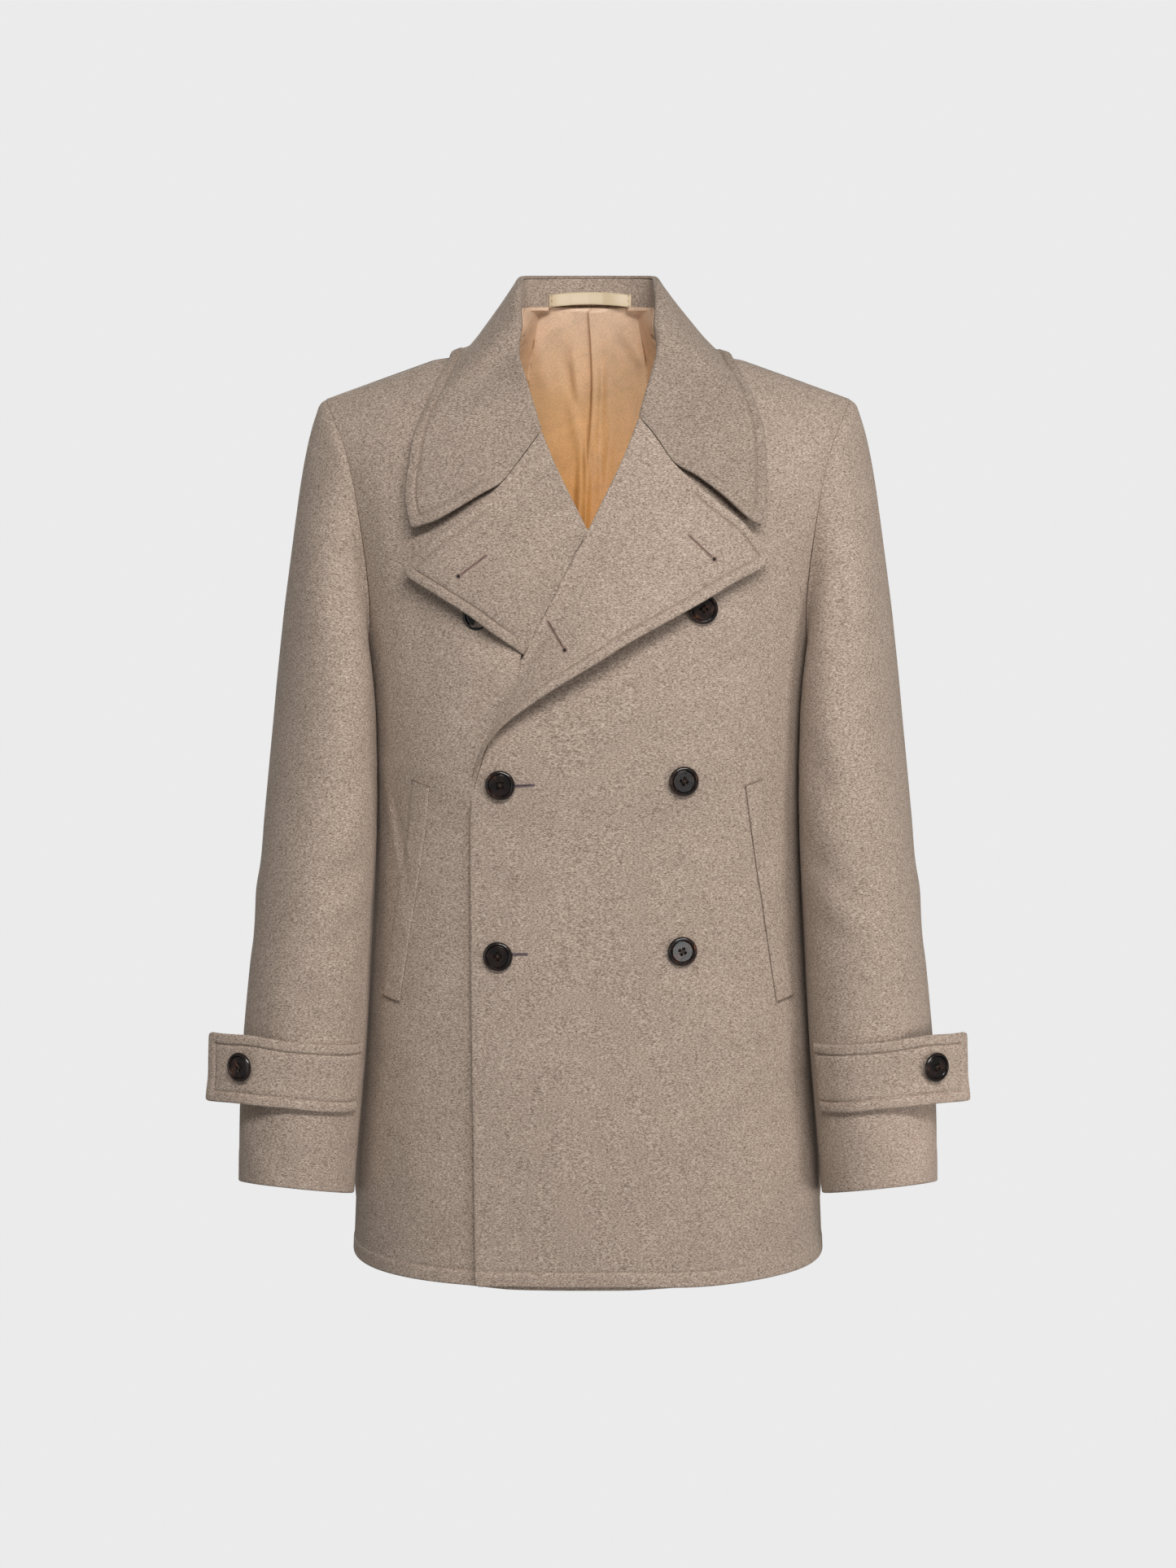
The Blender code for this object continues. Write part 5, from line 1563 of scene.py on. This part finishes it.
def makeLoop():
    t = np.concatenate([[-1, -0.99, -0.97], np.linspace(-0.93, 0.93, 45), [0.97, 0.99, 1]])[None]
    c = np.array([0, 0.03, 0.1, 0.25, 0.5, 0.75, 0.9, 0.97, 1])[:, None]
    x = 1.7 + 34.2 * t + 0 * c
    z = mix(15.0, 25.5, c) + 2.5 * (1 - t**2)
    y = standInside(x, z) - 0.5 - 6.5 * (1 - t**4) - 0.4 * np.sin(math.pi * c)
    outer = np.stack([x, y, z], -1)
    inner = np.stack([x, y - 1.0, z], -1)
    close = closing(toEdge(edgeDistances(outer)), 0.5)
    makeCloth("hanger_loop", outer, inner, close, tape)
    for end in (-0.93, 0.93):
        height = np.linspace(15.6, 24.9, 8) + 2.5 * (1 - end**2)
        width = np.full(8, 1.7 + 34.2 * end)
        line = np.stack([width, standInside(width, height) - 3.4, height], -1)
        stitchLines.append(("hanger_loop", line, np.tile([0, -1.0, 0], (8, 1))))


makeLining()
makeLoop()
print("lining and loop made")


# The side faces of a tube of rings, then its two ends
def tubeFaces(rings, sides):
    faces = [
        (k * sides + i, k * sides + n, (k + 1) * sides + n, (k + 1) * sides + i)
        for k in range(rings - 1)
        for i, n in zip(range(sides), [*range(1, sides), 0])
    ]
    start = (rings - 1) * sides
    return faces + [tuple(range(sides))[::-1], tuple(range(start, start + sides))]


# A round-ended stitch lying along X
def stitchMesh(name, long, thick, sides=8, rings=5):
    points = []
    half = long / 2
    for i in range(rings * 2):
        left = i < rings
        k = i if left else i - rings
        share = k / (rings - 0.5) if left else 1 - (k + 0.5) / (rings - 0.5)
        turn = max(share * math.pi / 2, 0.12)
        radius = math.sin(turn) * thick / 2
        x = (-1 if left else 1) * (half - thick / 2 + math.cos(turn) * thick / 2)
        for s in range(sides):
            a = 2 * math.pi * s / sides
            points.append((x, radius * math.cos(a), radius * math.sin(a)))
    mesh = plainMesh(name, points, [face[::-1] for face in tubeFaces(rings * 2, sides)])
    mesh.shade_smooth()
    return mesh


# Sets one small piece again and again along lines, turned to lie on the cloth
def alongTree(name, material):
    tree = bpy.data.node_groups.new(name, "GeometryNodeTree")
    for name, way, kind in (
        ("Geometry", "INPUT", "Geometry"), ("Unit", "INPUT", "Object"),
        ("Pitch", "INPUT", "Float"), ("Geometry", "OUTPUT", "Geometry"),
    ):
        tree.interface.new_socket(name, in_out=way, socket_type="NodeSocket" + kind)

    start = addNode(tree, "NodeGroupInput").outputs
    values = {"Mesh": start["Geometry"]}
    curve = addNode(tree, "GeometryNodeMeshToCurve", {}, values).outputs[0]
    values = {"Curve": curve, "Length": start["Pitch"]}
    even = addNode(tree, "GeometryNodeResampleCurve", {"mode": "LENGTH"}, values).outputs[0]
    tangent = addNode(tree, "GeometryNodeInputTangent").outputs[0]
    vector = {"data_type": "FLOAT_VECTOR"}
    up = addNode(tree, "GeometryNodeInputNamedAttribute", vector, {"Name": "up"}).outputs[0]
    values = {"Vector": tangent}
    turn = addNode(tree, "FunctionNodeAlignRotationToVector", {"axis": "X"}, values).outputs[0]
    values = {"Rotation": turn, "Vector": up}
    axes = {"axis": "Z", "pivot_axis": "X"}
    turn = addNode(tree, "FunctionNodeAlignRotationToVector", axes, values).outputs[0]
    values = {"Object": start["Unit"]}
    part = addNode(tree, "GeometryNodeObjectInfo", {}, values).outputs["Geometry"]
    # the smallest and largest share of a stitch's size
    values = {2: 0.92, 3: 1.08, "Seed": 4}
    size = addNode(tree, "FunctionNodeRandomValue", {"data_type": "FLOAT"}, values).outputs[1]
    values = {"Points": even, "Instance": part, "Rotation": turn, "Scale": size}
    copies = addNode(tree, "GeometryNodeInstanceOnPoints", {}, values).outputs[0]
    solid = addNode(tree, "GeometryNodeRealizeInstances", {}, {"Geometry": copies}).outputs[0]
    values = {"Geometry": solid, "Material": material}
    paint = addNode(tree, "GeometryNodeSetMaterial", {}, values).outputs[0]
    addNode(tree, "NodeGroupOutput", {}, {"Geometry": paint})
    return tree


def linesMesh(name, lines):
    points, ups, edges = [], [], []
    for path, up in lines:
        base = len(points)
        points += list(path)
        ups += list(unit(np.asarray(up, float)))
        edges += [(base + k, base + k + 1) for k in range(len(path) - 1)]
    mesh = plainMesh(name, points, [], edges)
    attribute = mesh.attributes.new("up", "FLOAT_VECTOR", "POINT")
    attribute.data.foreach_set("vector", np.array(ups, float).ravel())
    return mesh


def sewAlong(name, lines, unitMesh, pitch, material):
    unitThing = linkThing(name + "Unit", unitMesh)
    thing = linkThing(name + "Lines", linesMesh(name + "Lines", lines))
    tree = alongTree(name, material)
    modifier = thing.modifiers.new("stitches", "NODES")
    modifier.node_group = tree
    sockets = {i.name: i.identifier for i in tree.interface.items_tree if i.in_out == "INPUT"}
    modifier[sockets["Unit"]] = unitThing
    modifier[sockets["Pitch"]] = pitch * mm
    mesh = evaluated(thing)
    mesh.name = name
    bpy.data.objects.remove(thing)
    bpy.data.objects.remove(unitThing)
    mesh.shade_smooth()
    return addPiece(name, mesh, material)


def smoothPath(path, ups, step=1.2):
    arc = lengths(path)
    at = np.linspace(0, arc[-1], max(int(arc[-1] / step), 2))
    path, ups = [
        np.stack([np.interp(at, arc, line[:, k]) for k in range(3)], -1) for line in (path, ups)
    ]
    return path, unit(ups)


topStitch = stitchMesh("topStitch", 2.75, 0.62)
topLines = []
for owner, path, up in stitchLines:
    up = np.asarray(up, float) + 0 * path
    path, up = smoothPath(path, up)
    topLines.append((path + up * 0.22, up))
sewAlong("pocket_ends", endLines, stitchMesh("endStitch", 2.2, 0.7), 1.9, slitEdge)
stitches = sewAlong("topstitches", topLines, topStitch, 3.6, topThread)
print("topstitches:", len(stitches.data.polygons), "faces")


button = {
    # radius and height from the middle of the foot round the rim to the middle of the dish
    "profile": [
        (0, 0), (9.6, 0), (10.9, 0.35), (11.7, 1.0), (12, 1.8), (11.9, 2.6), (11.45, 3.35),
        (10.9, 3.8), (10.4, 3.98), (9.9, 4), (9.6, 3.9), (9.42, 3.6), (9.3, 2.9), (9.2, 2.45),
        (9.0, 2.3), (8.75, 2.45), (8.6, 2.68), (8.35, 2.8),
        (8.15, 2.84), (7.9, 2.84), (5, 2.82), (0, 2.81),
    ],
    "sides": 72, "hole": 1.15, "flare": 1.55, "offset": 2.3, "gap": 0.6,
    "strand": 0.2,  # a thread's radius
    "sharp": 38,  # degrees from which an edge is drawn sharp
    # name, place across and height (or the cuff's side), layer, turn
    "front": [
        ("button_1", -87.0, -224, -1, 12), ("button_2", 89.0, -218.5, 1, 40),
        ("button_3", -68.8, -357.8, 1, 8), ("button_4", 74.9, -354.7, 1, 33),
        ("button_5", -71.6, -498.0, 1, 50), ("button_6", 74.9, -493.9, 1, 21),
    ],
    "cuff": [("cuff_button_left", 1, 15), ("cuff_button_right", -1, 62)], "cuffPlace": (35, -597.4),
}


def turnedMesh(name, profile, sides):
    points, faces, rings = [], [], []
    for radius, height in profile:
        if radius == 0:
            rings.append([len(points)])
            points.append((0, 0, height))
            continue
        rings.append(list(range(len(points), len(points) + sides)))
        for a in np.arange(sides) * 2 * math.pi / sides:
            points.append((radius * math.cos(a), radius * math.sin(a), height))
    for low, high in zip(rings, rings[1:]):
        for k, n in zip(range(sides), [*range(1, sides), 0]):
            if len(low) == 1:
                faces.append((low[0], high[n], high[k]))
            elif len(high) == 1:
                faces.append((low[k], low[n], high[0]))
            else:
                faces.append((low[k], low[n], high[n], high[k]))
    return plainMesh(name, points, faces)


def buttonMesh():
    blank = linkThing("buttonBlank", turnedMesh("buttonBlank", button["profile"], button["sides"]))
    hole, flare = button["hole"], button["flare"]
    bore = [(0, -1), (hole, -1), (hole, 2.35), (mix(hole, flare, 0.35), 2.62)]
    bore += [(flare, 2.95), (flare, 6), (0, 6)]
    drill = turnedMesh("drill", bore, 20)
    for k in range(4):
        a = math.radians(45 + 90 * k)
        cutter = linkThing("cutter", drill)
        offset = button["offset"] * mm
        cutter.location = (offset * math.cos(a), offset * math.sin(a), 0)
        cut = blank.modifiers.new("hole", "BOOLEAN")
        cut.operation = "DIFFERENCE"
        cut.solver = "EXACT"
        cut.object = cutter
    mesh = evaluated(blank)
    for thing in [t for t in bpy.data.objects if t.name.startswith(("cutter", "buttonBlank"))]:
        bpy.data.objects.remove(thing)
    mesh.shade_smooth()
    mesh.set_sharp_from_angle(angle=math.radians(button["sharp"]))
    return mesh


# A closed tube along a path
def tubeParts(path, radius, sides=8):
    path = np.asarray(path, float)
    tangent = unit(np.gradient(path, axis=0))
    side = np.cross(tangent[0], [0.31, 0.52, 0.79])
    points = []
    for k, place in enumerate(path):
        side = unit(side - tangent[k] * (side @ tangent[k]))
        other = np.cross(tangent[k], side)
        for i in range(sides):
            a = 2 * math.pi * i / sides
            points.append(place + radius * (math.cos(a) * side + math.sin(a) * other))
    return np.array(points), tubeFaces(len(path), sides)


def joinedMesh(name, parts):
    points, faces, base = [], [], 0
    for some, quads in parts:
        points.append(some)
        faces += [tuple(base + i for i in quad) for quad in quads]
        base += len(some)
    mesh = plainMesh(name, np.concatenate(points), faces)
    mesh.shade_smooth()
    return mesh


# Strands that pass up one hole, over the dish and down the opposite one, into the cloth
def buttonStrands():
    parts = []
    offset = button["offset"]
    for bundle in range(2):
        a = math.radians(45 + 90 * bundle)
        ahead = np.array([math.cos(a), math.sin(a), 0])
        beside = np.array([-math.sin(a), math.cos(a), 0])
        for k in (-1, 0, 1):
            high = 3.05 + 0.34 * bundle + (0.1 if k == 0 else 0)
            run = [(-1, -0.95), (-1, 0.6), (-1, 1.9), (-0.86, 2.72), (-0.55, high), (0, high + 0.1)]
            run += [(-u, z) for u, z in run[-2::-1]]
            rough = np.array([ahead * u * offset + beside * k * 0.3 + [0, 0, z] for u, z in run])
            t = np.linspace(0, len(rough) - 1, 33)
            path = curveThrough(np.arange(len(rough)), rough)(t)
            parts.append(tubeParts(path, button["strand"], 7))
    return parts


def placeButton(name, mesh, seat, away, turn):
    away = unit(away)
    right = unit(np.cross([0, 0, 1.0], away))
    up = np.cross(away, right)
    a = math.radians(turn)
    first = right * math.cos(a) + up * math.sin(a)
    frameOf = np.stack([first, np.cross(away, first), away])
    seat = seat + away * button["gap"]
    copy = mesh.copy()
    points = np.empty(len(copy.vertices) * 3)
    copy.vertices.foreach_get("co", points)
    points = points.reshape(-1, 3) @ frameOf + seat * mm
    copy.vertices.foreach_set("co", points.ravel())
    copy.update()
    clothPieces[name] = addPiece(name, copy, horn)
    return [(p @ frameOf + seat, q) for p, q in buttonStrands()]


discMesh = buttonMesh()
strands = []
for name, x, z, layer, turn in button["front"]:
    place, away = onBody(np.array([x]), np.array([z]), True)
    lift = overTop(x, z) if layer > 0 else 0.0
    lift = lift + float(bodyFold(np.array([x]), np.array([z]), "front")[0])
    strands += placeButton(name, discMesh, place[0] + away[0] * lift, away[0], turn)
for name, side, turn in button["cuff"]:
    degrees, z = button["cuffPlace"]
    spots, aways = strapPlace(degrees + np.array([-6.0, 0, 6.0]), np.full(3, float(z)))
    along = unit(spots[0] - spots[2])
    away = unit(unit(aways[1] - along * (aways[1] @ along)) + [0.16, 0, 0.08])
    flip = np.array([side, 1, 1])
    seat = spots[1] + away * (strap["wall"] + 0.6)
    strands += placeButton(name, discMesh, seat * flip, away * flip, turn)
addPiece("button_threads", joinedMesh("buttonThreads", strands), darkThread)
print("buttons made")

buttonhole = {
    "width": 0.55, "thick": 0.16, "barLong": 1.2, "barThick": 0.34, "pitch": 0.45, "offset": 0.78,
    "eyelet": 1.4,
    # piece and ends (x, z), the first is the eyelet's
    "lapel": [
        ("lapel_over", (-18.2, -248.1), (-31.8, -226.4)),
        ("lapel_over", (98.9, -178.0), (78.7, -159.1)),
        ("lapel_under", (-101.9, -192.1), (-79.3, -175.2)),
    ],
    "front": [
        ("front_over", (-57.8, -358.8), (-42.4, -357.8)),
        ("front_over", (-60.6, -496.3), (-48.5, -496.1)),
    ],
}


# Points on a piece's outer face straight behind places seen from the front
def onFace(name, places):
    mesh = clothPieces[name].data
    corners = [v.co.copy() for v in mesh.vertices]
    tree = BVHTree.FromPolygons(corners, [tuple(p.vertices) for p in mesh.polygons])
    spots, aways = [], []
    for x, z in places:
        spot, away, _, _ = tree.ray_cast(Vector((x * mm, -0.4, z * mm)), Vector((0, 1, 0)))
        spots.append(np.array(spot) / mm)
        aways.append(np.array(away) * (1 if away[1] < 0 else -1))
    return np.array(spots), unit(np.array(aways))


def softened(values, times=6):
    for _ in range(times):
        middle = (values[:-2] + 2 * values[1:-1] + values[2:]) / 4
        values = np.concatenate([values[:1], middle, values[-1:]])
    return values


# A flat closed ribbon on the cloth
def ribbonParts(path, ups, wide, thick):
    along = unit(np.gradient(path, axis=0))
    across = unit(np.cross(along, ups))
    wide = np.broadcast_to(wide, len(path))[:, None]
    low = path - ups * 0.3
    high = path + ups * thick
    half = across * wide / 2
    points = np.stack([low - half, low + half, high + half, high - half], 1)
    return points.reshape(-1, 3), [face[::-1] for face in tubeFaces(len(path), 4)]


# Each buttonhole's slit and eyelet are dark ribbons laid on the cloth: painted shade where the cut
# opening shows only shadow
slitParts, edgeLines, slitLines = [], [], []
for kind in ("lapel", "front"):
    for owner, first, last in buttonhole[kind]:
        t = np.linspace(0, 1, 25)[:, None]
        plan = np.array(first) * (1 - t) + np.array(last) * t
        spots, aways = onFace(owner, plan)
        spots, aways = softened(spots), unit(softened(aways, 20))
        slitParts.append(ribbonParts(spots, aways, buttonhole["width"], buttonhole["thick"]))
        along = unit(np.gradient(spots, axis=0))
        across = unit(np.cross(along, aways))
        lines = edgeLines if kind == "lapel" else slitLines
        for hand in (-1, 1):
            lines.append((spots + across * hand * buttonhole["offset"] + aways * 0.1, aways))
        if kind == "lapel":
            a = np.linspace(0, 2 * math.pi, 25)[:, None]
            eyelet = buttonhole["eyelet"]
            ring = along[0] * np.cos(a) + across[0] * np.sin(a)
            ring = spots[0] + ring * (eyelet + 0.75) + aways[0] * 0.1
            lines.append((ring, np.repeat(aways[:1], 25, 0)))
            t = np.linspace(-1, 1, 15)
            disc = spots[0] + along[0] * t[:, None] * eyelet
            wide = 2 * eyelet * np.sqrt(np.maximum(1 - t**2, 0.02))
            slitParts.append(ribbonParts(disc, np.repeat(aways[:1], 15, 0), wide, 0.34))
slitMesh = joinedMesh("buttonholeSlits", slitParts)
slitMesh.shade_flat()
addPiece("buttonhole_slits", slitMesh, slitShade)
barMesh = stitchMesh("bar", buttonhole["barLong"], buttonhole["barThick"])
barPoints = np.empty(len(barMesh.vertices) * 3)
barMesh.vertices.foreach_get("co", barPoints)
barMesh.vertices.foreach_set("co", (barPoints.reshape(-1, 3)[:, [1, 0, 2]] * [-1, 1, 1]).ravel())
sewAlong("buttonhole_edges", edgeLines, barMesh, buttonhole["pitch"], holeThread)
barMesh = barMesh.copy()
sewAlong("front_slit_edges", slitLines, barMesh, buttonhole["pitch"], mauveThread)
print("buttonholes made")


def makeStage():
    mesh = bpy.data.meshes.new("floor")
    low, high, w = -1.35, 9, 9.0
    points = [(x, y, z) for z in (low, high) for x, y in ((-w, -w), (w, -w), (w, w), (-w, w))]
    walls = [(k, (k + 1) % 4, (k + 1) % 4 + 4, k + 4) for k in range(4)]
    mesh.from_pydata(points, [], [(0, 1, 2, 3), (4, 5, 6, 7)] + walls)
    material = bpy.data.materials.new("paleBackdrop")
    material.use_nodes = True
    tree = material.node_tree
    tree.nodes.clear()
    glow = addNode(tree, "ShaderNodeEmission", {}, {"Color": hexColour("ebebeb")})
    addNode(tree, "ShaderNodeOutputMaterial", {}, {"Surface": glow.outputs[0]})
    mesh.materials.append(material)
    floor = linkThing("floor", mesh)
    # the lamps alone light the cloth
    floor.visible_diffuse = floor.visible_glossy = floor.visible_shadow = False


def areaLight(name, place, target, size, power, colour, **seen):
    light = bpy.data.lights.new(name, "AREA")
    light.shape = "RECTANGLE"
    light.size, light.size_y = size
    light.energy = power
    light.color = colour
    thing = linkThing(name, light)
    thing.location = place
    thing.rotation_mode = "QUATERNION"
    thing.rotation_quaternion = (Vector(target) - Vector(place)).to_track_quat("-Z", "Y")
    for key, value in seen.items():
        setattr(thing, "visible_" + key, value)
    return thing


makeStage()
# The lamps: place, target, size, power and colour, and what doesn't see them
areaLight("front", (0.4, -2.4, 1.5), (0, 0, -0.35), (2.2, 0.4), 79, (1, 0.985, 0.97))
areaLight(
    "right", (2.1, -1.7, -0.75), (0.15, 0, -0.6), (0.7, 1.0), 24, (1, 0.985, 0.96), glossy=False
)
areaLight("left", (-1.9, -1.9, -0.6), (-0.1, 0, -0.5), (0.8, 1.2), 5.5, (1, 0.985, 0.965))
cuff = areaLight(
    "cuff", (1.3, -2.2, -0.95), (0.28, -0.08, -0.655), (0.12, 0.12), 0.014, (1, 0.985, 0.97),
    glossy=False,
)
cuff.data.spread = math.radians(6)
areaLight("back", (-0.7, 2.7, 0.15), (0, 0, -0.4), (1.6, 1.2), 34, (1, 0.985, 0.97), camera=False)
# A soft box seen only in the lowest button on the wearer's left
areaLight(
    "glint", (0.83, -2.354, -0.99), (0.077, -0.121, -0.494), (0.14, 0.12), 0.55,
    (0.97, 0.99, 1), diffuse=False, camera=False,
)
areaLight(
    "neck", (0.055, -0.02, -0.185), (0.0, 0.07, -0.03), (0.08, 0.05), 0.092, (1, 0.98, 0.96),
    camera=False,
)

scene = bpy.context.scene
world = bpy.data.worlds.new("paleRoom")
scene.world = world
world.use_nodes = True
room = world.node_tree.nodes["Background"].inputs
room["Color"].default_value, room["Strength"].default_value = (0.92, 0.93, 0.95, 1), 0.18
scene.view_settings.view_transform = "Standard"

camera = bpy.data.cameras.new("camera")
camera.sensor_width = 36
camera.lens = 72.5
camera.clip_end = 60
cameraThing = linkThing("camera", camera)
cameraThing.location = (0, -2.6, 0.042)
cameraThing.rotation_euler = (math.radians(90 - 9.16), 0, 0)
scene.camera = cameraThing

for name, thing in clothPieces.items():
    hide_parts(name)
